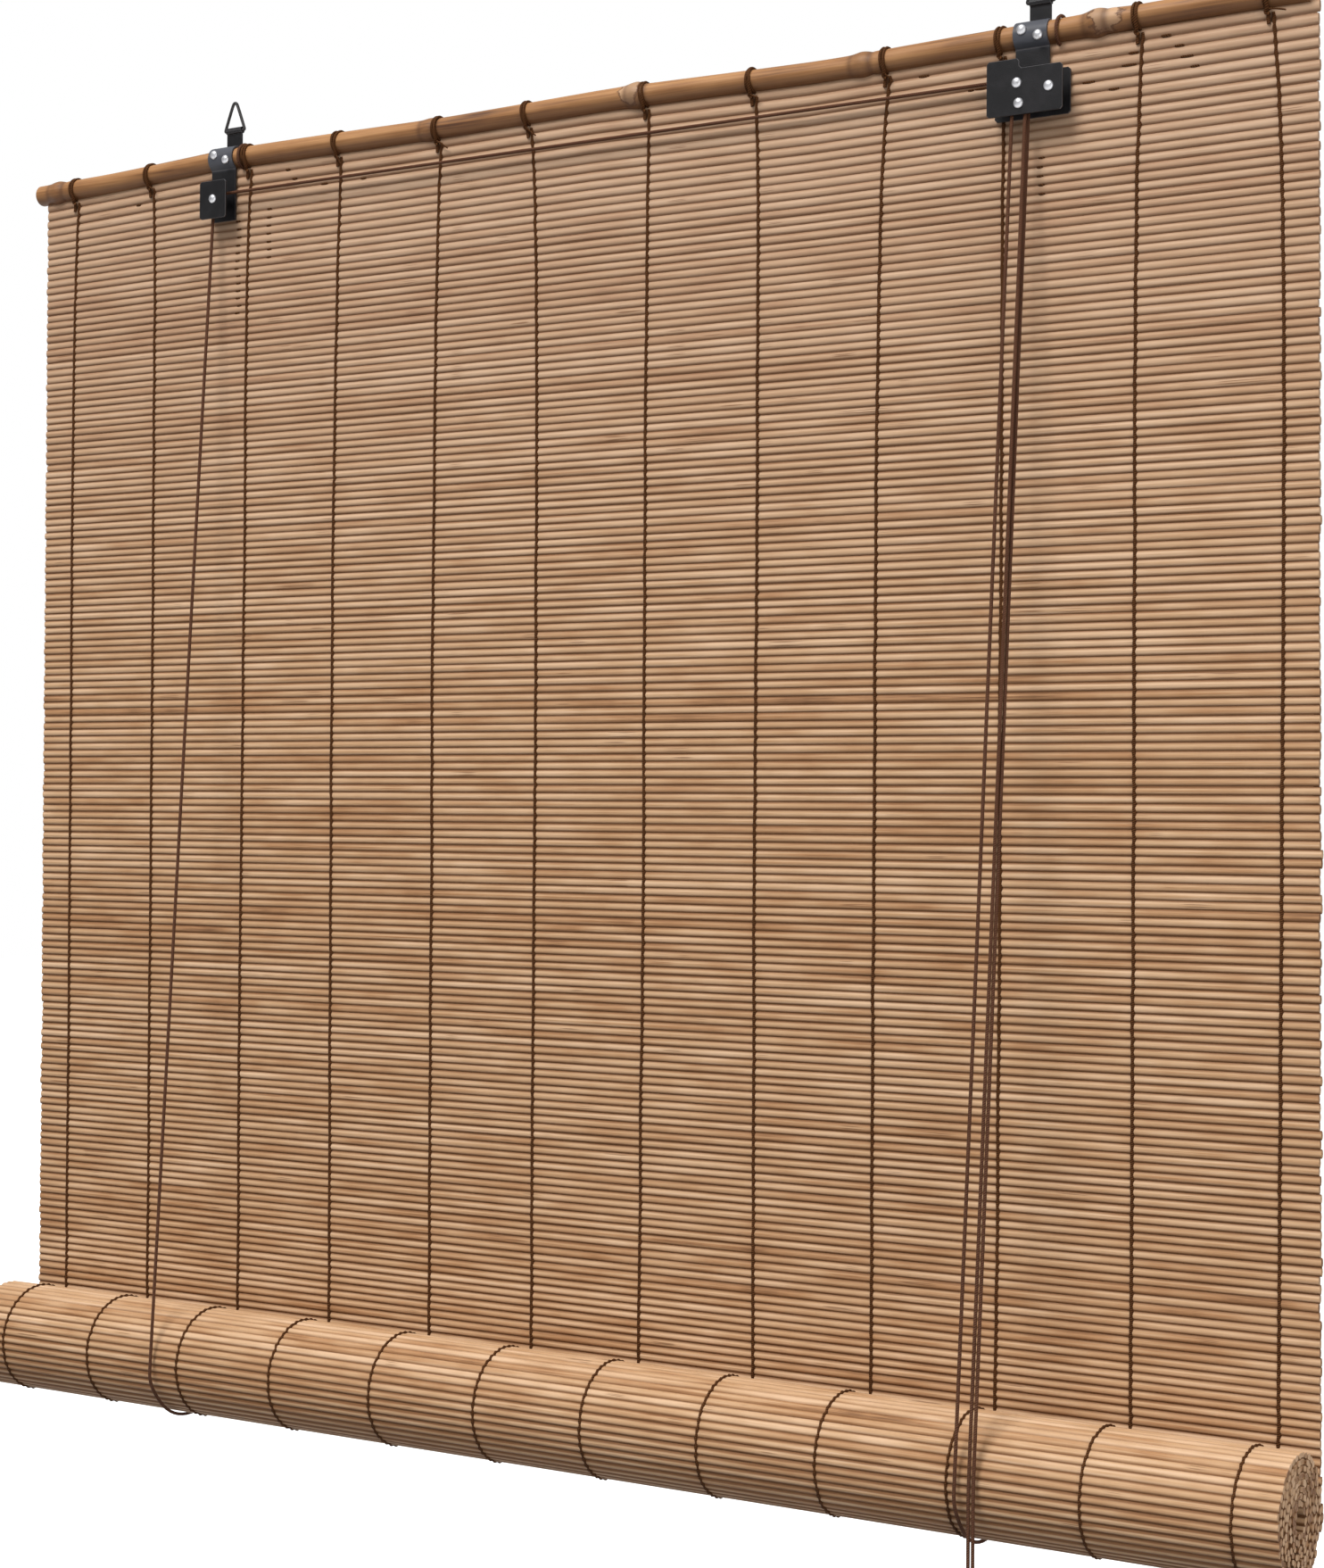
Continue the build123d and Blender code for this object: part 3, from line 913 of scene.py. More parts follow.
@dataclass
class Reeds:
    """Makes the reeds of the mat, each a little different."""

    layout: Layout
    half_height: float = 0.00226
    half_depth: float = 0.0014
    end_scatter: float = 0.0003
    height_scatter: float = 0.03
    depth_scatter: float = 0.05
    depth_limits: tuple[float, float] = (-2, 1.5)
    thick_swing: float = 0.04
    wave_rates: tuple[float, float] = (3, 7)
    wave_starts: tuple[float, float] = (0, 6.3)
    stations: int = 5
    cut_inset: float = 0.28
    cut_share: float = 0.9
    cut_contrast: float = 1.3
    cut_shift: float = -0.1
    tone_middle: float = 0.42
    tone_spread: float = 0.19
    tone_drift: float = 0.132
    drift_reeds: int = 7
    roll_reeds: int = 260
    smooth_angle: float = 60.0
    sides: int = 8
    seed: int = 17
    random: np.random.Generator = field(init=False)
    bands: np.ndarray = field(init=False)

    def __post_init__(self) -> None:
        """Sets up the chances that all reeds share."""
        self.random = np.random.default_rng(self.seed)
        raw = self.random.normal(size=self.layout.reed_count + self.roll_reeds)
        drift = np.convolve(raw, np.ones(self.drift_reeds) / self.drift_reeds, mode="same")
        self.bands = np.clip(self.tone_middle + self.tone_spread * raw + self.tone_drift * drift, 0.0, 1.0)

    def pattern(self, cuts: int) -> bpy.types.Object:
        """Models one straight reed of unit size, its cut ends inset to take a tone of their own.

        Args:
            cuts: stations along it.
        Returns:
            The pattern.
        """
        reed = Bench.rod("reed_pattern", self.sides, cuts)
        with Bench.editing("DESELECT"):
            bpy.ops.mesh.select_mode(type="FACE")
        for face in reed.data.polygons:
            face.select = abs(face.normal.x) > 0.9
        bpy.ops.object.mode_set(mode="EDIT")
        bpy.ops.mesh.inset(thickness=self.cut_inset, use_individual=True)
        bpy.ops.object.mode_set(mode="OBJECT")
        return reed

    def wave(self, share: np.ndarray) -> np.ndarray:
        """One long wave along a reed, of random length and start."""
        return np.sin(share * self.random.uniform(*self.wave_rates) + self.random.uniform(*self.wave_starts))

    def shape(self, unit: np.ndarray, wander: float) -> np.ndarray:
        """Gives one reed its own size, ends and slight bends.

        Args:
            unit: points of the pattern.
            wander: how far it strays from a straight line.
        Returns:
            Points with X along the blind, Y its depth and Z its height.
        """
        chance = self.random
        start = self.layout.mat_left + chance.normal() * self.end_scatter
        end = self.layout.mat_right + chance.normal() * self.end_scatter
        share = unit[:, 0] + 0.5
        place = start + share * (end - start)
        height = self.half_height * (1 + self.height_scatter * chance.normal())
        depth = self.half_depth * (1 + self.depth_scatter * np.clip(chance.normal(), *self.depth_limits))
        thick = 1 + self.thick_swing * self.wave(share)
        bow = wander * self.wave(share)
        sway = wander * self.wave(share)
        return np.stack([place, unit[:, 1] * depth * thick + sway, unit[:, 2] * height * thick + bow], axis=1)

    def finish_copy(self, piece: bpy.types.Object, unit: np.ndarray, points: np.ndarray, number: int,
                    depth: float = 1.0) -> None:
        """Places one reed and stores its tone and seams.

        Args:
            piece: the reed.
            unit: points of the pattern.
            points: its points in the row frame.
            number: which reed it is, counted from the pole.
            depth: how dark its painted seam shade is.
        """
        # seam: painted shade towards the top and bottom of each reed; its cut ends take the same dark colour
        # by an amount set by the reed's tone
        inside = np.hypot(unit[:, 1], unit[:, 2]) < self.cut_share
        Bench.move_points(piece, points)
        Bench.mark(piece, "tone", np.full(len(unit), self.bands[number]))
        cut_end = self.cut_contrast * self.bands[number] + self.cut_shift
        Bench.mark(piece, "seam", np.where(inside, cut_end, depth * np.abs(unit[:, 2])))


@dataclass
class HangingMat:
    """The part of the mat between pole and roll, with its warp threads and their ties."""

    layout: Layout
    palette: Palette
    reeds: Reeds
    rise: Callable[[Any], Any]
    loose_share: float = 0.31
    loose_reeds: float = 7.6
    crook_reeds: float = 12.0
    nestle: float = 0.0022
    nestle_reeds: float = 3.0
    slant_depth: float = 0.05
    flare: float = 0.004
    wander: float = 0.00007
    web_inset: float = 0.001
    web_half_depth: float = 0.0006
    web_shift: float = 0.0005
    thread_wobble: float = 0.00007
    thread_jitter: float = 0.00015
    thread_lift: float = 0.00015
    thread_sink: float = 0.00055
    thread_sides: int = 5
    crest_radius: float = 0.00072
    seam_radius: float = 0.00112
    reeds_in_roll: int = 4
    mark_radius: float = 0.0007
    mark_sink: float = 0.0004
    mark_dip: float = 0.0006
    mark_sag: float = 0.0003
    dash_halves: tuple[float, float] = (0.0015, 0.0035)
    glimpse_half: float = 0.0014
    glimpse_scatter: float = 0.0006
    seam_dashes: tuple[tuple[float, int], ...] = (
        (-0.326, 2), (-0.211, 1), (-0.206, 2), (-0.184, 3), (-0.156, 3), (0.1975, 1),
        (0.2236, 3), (0.2294, 3), (0.2861, 4), (0.2991, 5), (0.3068, 3), (0.309, 2),
        (0.3255, 1), (0.3323, 2), (0.336, 3), (0.340, 4))
    glimpses: tuple[tuple[float, int, int], ...] = ((-0.248, 6, 19), (-0.225, 5, 12), (0.2616, 11, 16))
    tie_aside: float = 0.0025
    tie_reach: float = 0.0009
    tie_radius: float = 0.00075
    tie_slack: float = 0.0006
    tie_lean: float = 0.0005
    tie_sides: int = 6
    knot_radius: float = 0.001
    knot_slack: float = 0.0008
    knot_gap: float = 0.0003
    tail_radius: float = 0.00045
    tail_lengths: tuple[float, float] = (0.003, 0.010)
    tail_sags: tuple[float, float] = (0.0, 0.003)
    tail_drops: tuple[float, float] = (0.001, 0.008)
    tie_shares: tuple[float, ...] = (
        0.10, -0.03, 0.065, 0.025, 0.045, -0.08, 0.015, -0.04, 0.085, 0.0, 0.035, -0.035)

    def heights(self) -> np.ndarray:
        """Middle of each reed; the first ones under the pole hang a little looser.

        Returns:
            One height for each reed, from the top.
        """
        number = np.arange(self.layout.reed_count + 1)
        loose = self.loose_share * self.loose_reeds * (1 - np.exp(-number / self.loose_reeds))
        edges = (number + loose) / (number[-1] + loose[-1])
        edges = self.layout.mat_top + edges * (self.layout.mat_bottom - self.layout.mat_top)
        edges = edges + self.nestle * np.exp(-number / self.nestle_reeds)
        return (edges[:-1] + edges[1:]) / 2

    def crook(self, x: Any, number: float) -> Any:
        """How far up a reed, counted from the pole, follows the crooked pole at a place or places."""
        return self.rise(x) * math.exp(-number / self.crook_reeds)

    def build_shade_sheet(self) -> bpy.types.Object:
        """Thin dark sheet in the middle of the mat which closes the seams between the reeds; it shows there
        as painted shade.

        Returns:
            The core.
        """
        web = Bench.rod("seam_shade_sheet", 4, 40)
        unit = Bench.points(web)
        top, *_, foot = self.heights()
        width = self.layout.mat_width - 2 * self.web_inset
        x = self.layout.mat_left + self.web_inset + (unit[:, 0] + 0.5) * width
        middle, half = (top + foot) / 2 + self.web_shift, (top - foot) / 2 + 2 * self.web_shift
        z = middle + half * unit[:, 2] + np.where(unit[:, 2] > 0.5, self.rise(x), 0.0)
        y = self.layout.pole_y + self.web_half_depth * unit[:, 1]
        Bench.move_points(web, np.stack([x, y, z], axis=1))
        Bench.mark(web, "tone", np.full(len(unit), 0.5))
        # painted shade: the sheet takes the full seam colour
        Bench.mark(web, "seam", np.full(len(unit), 1.0))
        return web

    def build_reeds(self) -> None:
        """Hangs all reeds."""
        pattern = self.reeds.pattern(self.reeds.stations)
        unit = Bench.points(pattern)
        copies = [self.build_shade_sheet()]
        for number, height in enumerate(self.heights()):
            reed = Bench.copy(pattern, f"reed_{number}")
            spread = 1 + self.loose_share * math.exp(-number / self.loose_reeds)
            points = self.reeds.shape(unit, self.wander)
            points[:, 2] *= spread
            points += np.array([0.0, self.layout.pole_y, height])
            points[:, 0] += self.flare * (unit[:, 0] > 0.45) * number / self.layout.reed_count
            points[:, 2] += self.crook(points[:, 0], number)
            self.reeds.finish_copy(reed, unit, points, number)
            copies.append(reed)
        Bench.drop(pattern)
        mat = Bench.join(copies, "hanging_reeds")
        Bench.smooth(mat, self.reeds.smooth_angle)
        Bench.dress(mat, self.palette.reed, Slot.REED)
        self.hang(mat, "reed_mat")

    def hang(self, piece: bpy.types.Object, node: str) -> None:
        """Mounts a hanging piece on the head in place of its node and gives it its own mesh.

        Args:
            piece: the piece.
            node: the node that it stands for.
        """
        layout = self.layout
        Bench.mount(piece, Body.HEAD, node)
        layout.keep(layout.pole_z, layout.mat_bottom)
        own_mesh(piece)

    def thread_line(self, place: float, shift: float, side: int) -> list[Vector]:
        """Line of a warp thread, over the crest of each reed and into each seam.

        Args:
            place: where it crosses the mat.
            shift: how far its tie sits to one side.
            side: -1 on the front, 1 on the back.
        Returns:
            Points from the pole down.
        """
        chance = self.reeds.random
        heights = self.heights()[:-self.reeds_in_roll]
        wobble = np.cumsum(chance.normal(size=len(heights))) * self.thread_wobble
        wobble -= np.linspace(wobble[0], wobble[-1], len(heights))
        crest = self.layout.pole_y + side * (self.reeds.half_depth + self.thread_lift)
        seam = self.layout.pole_y + side * (self.reeds.half_depth - self.thread_sink)
        line = []
        for number, height in enumerate(heights):
            depth = self.layout.mat_top - height
            x = place + shift * math.exp(-depth / self.slant_depth) + wobble[number]
            level = height + self.crook(x, number)
            line.append(Vector((x, crest, level)))
            x += chance.normal() * self.thread_jitter
            line.append(Vector((x, seam, level - self.layout.reed_pitch / 2)))
        return line

    def build_threads(self) -> None:
        """Binds the reeds with the warp threads, front and back."""
        layout = self.layout
        pieces = []
        for place, drift, share in zip(layout.warp_places(), layout.warp_drifts, self.tie_shares):
            for side in (-1, 1):
                line = self.thread_line(place + drift, share * layout.warp_pitch - drift, side)
                radii = [self.crest_radius, self.seam_radius] * (len(line) // 2)
                pieces.append(Strand.tube("thread", line, radii, self.thread_sides, (0, 1, 0)))
        pieces += self.build_marks()
        threads = Bench.join(pieces, "twined_threads")
        Bench.dress(threads, self.palette.thread, Slot.THREAD)
        self.hang(threads, "warp_threads")

    def build_marks(self) -> list[bpy.types.Object]:
        """Short dark thread pieces laid in the seams at listed places, and the lift cords glimpsed through
        them.

        Returns:
            One short piece for each mark.
        """
        chance = self.reeds.random
        marks = [(x, number, chance.uniform(*self.dash_halves)) for x, number in self.seam_dashes]
        for x, first, last in self.glimpses:
            marks += [(x + chance.normal() * self.glimpse_scatter, number, self.glimpse_half)
                      for number in range(first, last)]
        heights = self.heights()
        front = self.layout.pole_y - self.reeds.half_depth + self.mark_sink
        ends = []
        for x, number, half in marks:
            level = (heights[number - 1] + heights[number]) / 2 + self.crook(x, number)
            route = [(x - half, front + self.mark_dip, level),
                     (x, front - self.mark_sag, level - self.mark_sag),
                     (x + half, front + self.mark_dip, level)]
            line = Strand.spline(route)
            ends.append(Strand.tube("mark", line, self.mark_radius, self.thread_sides, (0, 1, 0)))
        return ends

    def build_ties(self) -> None:
        """Ties the threads to the pole: two turns and a knot each, and now and then a short tail."""
        reach = self.layout.pole_radius + self.tie_slack
        pieces = []
        for place, share in zip(self.layout.warp_places(), self.tie_shares):
            x = place + share * self.layout.warp_pitch - self.tie_aside
            middle = Vector((x, self.layout.pole_y, self.layout.pole_z + self.rise(x)))
            for offset in (-self.tie_reach, self.tie_reach):
                lean = self.reeds.random.normal() * self.tie_lean
                line = Strand.hoop(middle + Vector((offset, 0, 0)), reach, lean)
                pieces.append(Strand.tube("turn", line, self.tie_radius, self.tie_sides, (1, 0, 0),
                                          closed=True))
            pieces.append(self.knot(middle, place - x))
            pieces += self.tails(middle)
        ties = Bench.join(pieces, "thread_ties")
        Bench.dress(ties, self.palette.thread, Slot.THREAD)
        Bench.mount(ties, Body.HEAD, "warp_ties")

    def knot(self, middle: Vector, aside: float) -> bpy.types.Object:
        """Thread from the pole's front down to the first reed, wound once round itself.

        Args:
            middle: the pole's axis at the tie.
            aside: how far the thread's own line lies to one side.
        Returns:
            The knotted thread.
        """
        reach = self.layout.pole_radius + self.knot_slack
        front = self.layout.pole_y - self.reeds.half_depth - self.knot_gap
        route = [middle + Vector((0, -reach, -0.001)), middle + Vector((0.0012, -0.0048, -reach)),
                 middle + Vector((-0.0013, -0.0024, -reach - 0.0012)),
                 middle + Vector((0.0012, -0.0034, -reach - 0.0022)),
                 Vector((middle.x + 0.05 * aside, front, middle.z - 0.0105)),
                 Vector((middle.x + 0.12 * aside, front, middle.z - 0.0135))]
        line = Strand.spline(route)
        return Strand.tube("knot", line, self.knot_radius, self.tie_sides, (0.3, 0.9, 0.1))

    def tails(self, middle: Vector) -> list[bpy.types.Object]:
        """Cut end of a tie's thread, which by chance shows or not.

        Args:
            middle: the pole's axis at the tie.
        Returns:
            None or one short end.
        """
        chance = self.reeds.random
        if not chance.integers(0, 2):
            return []
        length = chance.uniform(*self.tail_lengths)
        start = middle + Vector((0, -0.0040, -self.layout.pole_radius - 0.0012))
        bend = start + Vector((length * 0.4, -0.0008, -chance.uniform(*self.tail_sags)))
        tip = start + Vector((length, 0.0004, -chance.uniform(*self.tail_drops)))
        line = Strand.spline([start, bend, tip])
        return [Strand.tube("tail", line, self.tail_radius, self.thread_sides, (0.1, 0.95, 0.3))]

    def build(self) -> None:
        """Makes the hanging mat."""
        self.build_reeds()
        self.build_threads()
        self.build_ties()


@dataclass
class RolledMat:
    """The lower end of the mat, wound into a roll, with the threads round its outside."""

    layout: Layout
    palette: Palette
    reeds: Reeds
    aside: float = 0.0045
    seam_depth: float = 1.12
    seam_lit_top: float = 0.50
    wander: float = 0.00006
    bent_turns: float = 1.05
    thread_turns: float = 0.92
    thread_radius: float = 0.00078
    thread_sides: int = 5
    thread_jitter: float = 0.00015
    thread_lifts: tuple[float, float] = (0.0003, -0.0004)
    thread_shares: tuple[float, ...] = (
        0.15, 0.11, 0.09, 0.055, 0.055, 0.05, 0.017, 0.02, -0.01, 0.007, -0.017, 0.03)

    def spiral(self, turns: float, lift: float = 0.0) -> tuple[float, float, float]:
        """Place on the wound mat.

        Args:
            turns: turns in from where the mat leaves the wall side.
            lift: how far off the mat's middle, outwards.
        Returns:
            Depth, height and the angle there.
        """
        radius = self.layout.turn_radius - turns * self.layout.turn_pitch + lift
        angle = -2 * math.pi * turns
        return (self.layout.roll_y + radius * math.cos(angle),
                self.layout.mat_bottom + radius * math.sin(angle), angle)

    def places(self) -> list[float]:
        """Where each reed lies on the spiral, one pitch from the next.

        Returns:
            Turns in from the outside.
        """
        found = []
        turns = 0.5 * self.layout.reed_pitch / (2 * math.pi * self.layout.turn_radius)
        while turns < self.layout.turn_count:
            found.append(turns)
            radius = self.layout.turn_radius - turns * self.layout.turn_pitch
            turns += self.layout.reed_pitch / (2 * math.pi * radius)
        return found

    def build_reeds(self) -> None:
        """Winds the reeds; only those outside need their bends."""
        outer = self.reeds.pattern(self.reeds.stations)
        inner = self.reeds.pattern(0)
        copies = []
        for number, turns in enumerate(self.places()):
            pattern = outer if turns < self.bent_turns else inner
            unit = Bench.points(pattern)
            reed = Bench.copy(pattern, f"wound_{number}")
            points = self.reeds.shape(unit, self.wander)
            points[:, 0] += self.aside
            y, z, angle = self.spiral(turns)
            cosine, sine = math.cos(angle), math.sin(angle)
            swing = np.array([[cosine, -sine], [sine, cosine]])
            points[:, 1:] = points[:, 1:] @ swing.T + np.array([y, z])
            # painted seam shade: lighter on the roll's top and darker beneath, as light falls from above
            depth = self.seam_depth - self.seam_lit_top * sine
            self.reeds.finish_copy(reed, unit, points, self.layout.reed_count + number, depth)
            copies.append(reed)
        Bench.drop(outer)
        Bench.drop(inner)
        roll = Bench.join(copies, "wound_reeds")
        Bench.smooth(roll, self.reeds.smooth_angle)
        Bench.dress(roll, self.palette.reed, Slot.REED)
        Bench.mount(roll, Body.ROLL, "mat_roll")

    def build_threads(self) -> None:
        """Threads round the outside of the roll, over each crest and into each seam."""
        step = self.layout.reed_pitch / (2 * math.pi * self.layout.turn_radius)
        pieces = []
        for place, share in zip(self.layout.warp_places(), self.thread_shares):
            line = []
            x = place + share * self.layout.warp_pitch
            for number in range(int(2.0 * self.thread_turns / step)):
                turns = 0.5 * step * (number + 1)
                y, z, _ = self.spiral(turns, self.reeds.half_depth + self.thread_lifts[number % 2])
                line.append(Vector((x + self.reeds.random.normal() * self.thread_jitter, y, z)))
            pieces.append(Strand.tube("round", line, self.thread_radius, self.thread_sides, (1, 0, 0)))
        threads = Bench.join(pieces, "wound_threads")
        Bench.dress(threads, self.palette.thread, Slot.THREAD)
        Bench.mount(threads, Body.ROLL)

    def build(self) -> None:
        """Makes the roll."""
        self.build_reeds()
        self.build_threads()


@dataclass
class Pole:
    """The bamboo pole, crooked, with swollen joints of which two are scarred."""

    layout: Layout
    palette: Palette
    sides: int = 24
    cuts: tuple[int, ...] = (26, 29)
    joint_width: float = 0.0045
    groove_place: float = 0.0058
    groove_width: float = 0.0014
    groove_depth: float = 0.0003
    dark_lines: tuple[tuple[float, float, float], ...] = ((0.8, 0.0056, 0.0018), (0.6, -0.0056, 0.0015))
    band_shade: float = 0.36
    band_width: float = 0.0055
    scar_angle: float = 2.5
    scar_swell: float = 0.6
    lobes: tuple[tuple[float, int, float], ...] = ((0.014, 2, 9.0), (0.010, 3, -23.0))
    swing: float = 0.02
    swing_rate: float = 31.0
    swing_start: float = 1.0
    underside_shade_from: float = 0.25
    smooth_angle: float = 50.0
    bend_step: float = 0.012
    joint_shares: tuple[float, ...] = (0.012, 0.365, 0.536, 0.704, 0.863)
    swells: tuple[float, ...] = (0.0010, 0.0007, 0.0011, 0.0009, 0.0013)
    scars: tuple[tuple[int, float, float], ...] = ((2, -0.003, 0.0060), (4, 0.006, 0.0085))
    bends: tuple[tuple[float, float], ...] = (
        (-0.41, -0.0055), (-0.345, -0.0042), (-0.2575, 0.0), (-0.1, -0.0013), (0.015, 0.0004),
        (0.145, -0.0022), (0.2575, 0.0), (0.32, 0.0015), (0.396, 0.0018))

    def rise(self, x: Any) -> Any:
        """How far the crooked pole bows up from the line through its brackets, at a place or places."""
        steps = (-self.bend_step, 0.0, self.bend_step)
        return sum(np.interp(x + step, *zip(*self.bends)) for step in steps) / len(steps)

    def build(self) -> None:
        """Models the pole."""
        layout = self.layout
        pole = Bench.rod("bamboo_pole", self.sides, *self.cuts)
        unit = Bench.points(pole)
        x = layout.pole_start + (unit[:, 0] + 0.5) * (layout.pole_end - layout.pole_start)
        angle = np.arctan2(unit[:, 2], unit[:, 1])
        radius = np.full(len(x), layout.pole_radius)
        joint = np.zeros(len(x))
        scar = np.zeros(len(x))
        for number, (share, swell) in enumerate(zip(self.joint_shares, self.swells)):
            away = x - (layout.mat_left + share * layout.mat_width)
            radius += swell * np.exp(-(away / self.joint_width) ** 2)
            radius -= self.groove_depth * np.exp(-((away - self.groove_place) / self.groove_width) ** 2)
            for shade, place, width in self.dark_lines:
                joint += shade * np.exp(-((away - place) / width) ** 2)
            joint += self.band_shade * np.exp(-(away / self.band_width) ** 4)
            for _, aside, length in (mark for mark in self.scars if mark[0] == number):
                facing = 0.5 + 0.5 * np.cos(angle - self.scar_angle)
                lump = np.exp(-((away - aside) / length) ** 2) * facing
                radius += self.scar_swell * swell * lump
                scar += lump
        lumpy = np.ones(len(x))
        for share, count, twist in self.lobes:
            lumpy += share * np.sin(count * angle + x * twist)
        radius *= lumpy
        radius *= 1 + self.swing * np.sin(x * self.swing_rate + self.swing_start)
        points = np.stack([x, layout.pole_y + radius * unit[:, 1],
                           layout.pole_z + self.rise(x) + radius * unit[:, 2]], axis=1)
        Bench.move_points(pole, points)
        Bench.mark(pole, "joint", np.clip(joint, 0, 1))
        Bench.mark(pole, "scar", np.clip(scar, 0, 1))
        # painted shade on the pole's underside, stored for the material
        Bench.mark(pole, "under", np.clip(self.underside_shade_from - unit[:, 2], 0, 1))
        Bench.smooth(pole, self.smooth_angle)
        Bench.dress(pole, self.palette.cane, Slot.CANE)
        Bench.mount(pole, Body.HEAD, "pole")


@dataclass
class Brackets:
    """Tabs, straps, plates, rings and rivets, with pulleys and cam inside."""

    layout: Layout
    palette: Palette
    edge: float = 0.00022
    head_radius: float = 0.0026
    head_height: float = 0.0015
    strap_seat: float = -0.0137
    cover_seat: float = -0.0196
    cover_tail: float = -0.0085
    strap_tail: float = 0.0009
    strap_shank: float = 0.001
    axle_shank: float = 0.0013
    shank_edge: float = 0.0002
    shank_sides: int = 16
    rivet_angle: float = 40.0
    wire_sides: int = 12
    strap_offset: tuple[float, float] = (0.00435, -0.0018)
    cam_pivot: tuple[float, float] = (0.2703, -0.06275)
    guide_post: tuple[float, float] = (0.2545, -0.06925)
    rim_depth: float = 0.004
    eye_drop: float = 0.0155
    wire_radius: float = 0.0009
    ring_half: float = 0.0074
    ring_bend: float = 0.0021
    ring_lean: float = 0.0007
    ring_peak: tuple[tuple[float, float], ...] = ((0.0022, -0.0016), (0.0009, 0.0009))

    def build_sheets(self) -> None:
        """Breaks the edges of the folded sheet pieces and paints them."""
        for node in ("left_hanger_tab", "right_hanger_tab", "left_strap", "lock_strap",
                     "left_front_plate", "lock_front_plate"):
            piece = Bench.softened(node, f"painted_{node}", self.edge)
            paint = self.palette.strap if "strap" in node else self.palette.paint
            Bench.dress(piece, paint, Slot.SHEET_METAL)
            Bench.mount(piece, Body.HEAD, node)

    def build_rings(self) -> None:
        """Bends the two wire rings, each from its foot up one side and down the other."""
        half, bend, low = self.ring_half, self.ring_bend, -self.eye_drop
        right = [(0, low), (half - bend, low), (half, low), (half - self.ring_lean, low + bend),
                 *self.ring_peak]
        route = right + [(-u, v) for u, v in reversed(right)]
        for side, body, x in (("left", Body.LEFT_RING, self.layout.left_x),
                              ("right", Body.RIGHT_RING, self.layout.right_x)):
            line = Strand.spline([(x + u, 0.0, v) for u, v in route])
            ring = Strand.tube(f"{side}_wire_ring", line[:-1], self.wire_radius, self.wire_sides, (0, 1, 0),
                               closed=True)
            Bench.dress(ring, self.palette.wire, Slot.WIRE)
            Bench.mount(ring, body, f"{side}_hook_ring")

    def rivet_pattern(self) -> bpy.types.Object:
        """Models one rivet head: a low dome on a thin rim.

        Returns:
            The head, its seat at the origin, facing -Y.
        """
        Bench.clear()
        bpy.ops.mesh.primitive_uv_sphere_add(segments=24, ring_count=14, radius=1.0,
                                             rotation=(math.pi / 2, 0, 0))
        head = bpy.context.active_object
        bpy.ops.object.transform_apply(location=True, rotation=True, scale=True)
        with Bench.editing("SELECT"):
            bpy.ops.mesh.bisect(plane_co=(0, 0.05, 0), plane_no=(0, 1, 0), use_fill=True, clear_outer=True)
        points = Bench.points(head)
        dome, rim = np.minimum(points[:, 1], 0.0), np.maximum(points[:, 1], 0.0)
        points[:, 1] = dome * self.head_height + rim * self.rim_depth
        points[:, [0, 2]] *= self.head_radius
        Bench.move_points(head, points)
        return head

    def build_rivets(self) -> None:
        """Sets the rivets of the straps and of the axles."""
        layout = self.layout
        along, up = self.strap_offset
        strap = [(x + s * along, layout.pole_z + s * up)
                 for x in (layout.left_x, layout.right_x) for s in (-1, 1)]
        axle = [(layout.left_x, layout.axle_z), (layout.lock_axle_x, layout.axle_z),
                self.cam_pivot, self.guide_post]
        pattern = self.rivet_pattern()
        unit = Bench.points(pattern)
        for node, seat, tail, shank, places in (
                ("strap_rivets", self.strap_seat, self.strap_tail, self.strap_shank, strap),
                ("axle_rivets", self.cover_seat, self.cover_tail, self.axle_shank, axle)):
            pieces = []
            for x, z in places:
                head = Bench.copy(pattern, "head")
                Bench.move_points(head, unit + np.array([x, seat, z]))
                pin = Bench.rod("shank", self.shank_sides)
                bar = Bench.points(pin)
                length = tail - seat
                middle = (tail + seat) / 2
                Bench.move_points(pin, np.stack([x + bar[:, 1] * shank, middle + bar[:, 0] * length,
                                                 z + bar[:, 2] * shank], axis=1))
                Bench.apply(pin, "BEVEL", width=self.shank_edge, segments=2, limit_method="ANGLE",
                            angle_limit=math.radians(self.rivet_angle))
                pieces += [head, pin]
            rivets = Bench.join(pieces, f"domed_{node}")
            Bench.smooth(rivets, self.rivet_angle)
            Bench.dress(rivets, self.palette.rivet, Slot.RIVET)
            Bench.mount(rivets, Body.HEAD, node)
        Bench.drop(pattern)

    def dress_inside(self) -> None:
        """Finishes the pulleys and the cam, which stay as they are."""
        for node in ("left_pulley", "lift_pulley", "cross_pulley"):
            Bench.dress(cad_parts[node], self.palette.wheel, Slot.WHEEL)
        Bench.dress(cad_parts["lock_cam"], self.palette.cam, Slot.CAM)

    def build(self) -> None:
        """Makes both brackets."""
        self.build_sheets()
        self.build_rings()
        self.build_rivets()
        self.dress_inside()


@dataclass(frozen=True)
class Stretch:
    """A taut cord from pulley to roll; the housing holds its upper end and the roll carries its foot."""

    top: Point
    foot: Point
    held: float = 0.018
    carried: float = 0.0145

    def part(self, share: float) -> Point:
        """Point that share of the way down."""
        return tuple(Vector(self.top).lerp(Vector(self.foot), share))

    def upper(self) -> Point:
        """Where the cord leaves the housing."""
        return self.part(self.held / math.dist(self.top, self.foot))

    def lower(self) -> Point:
        """Where the cord comes to the roll."""
        return self.part(1 - self.carried / math.dist(self.top, self.foot))


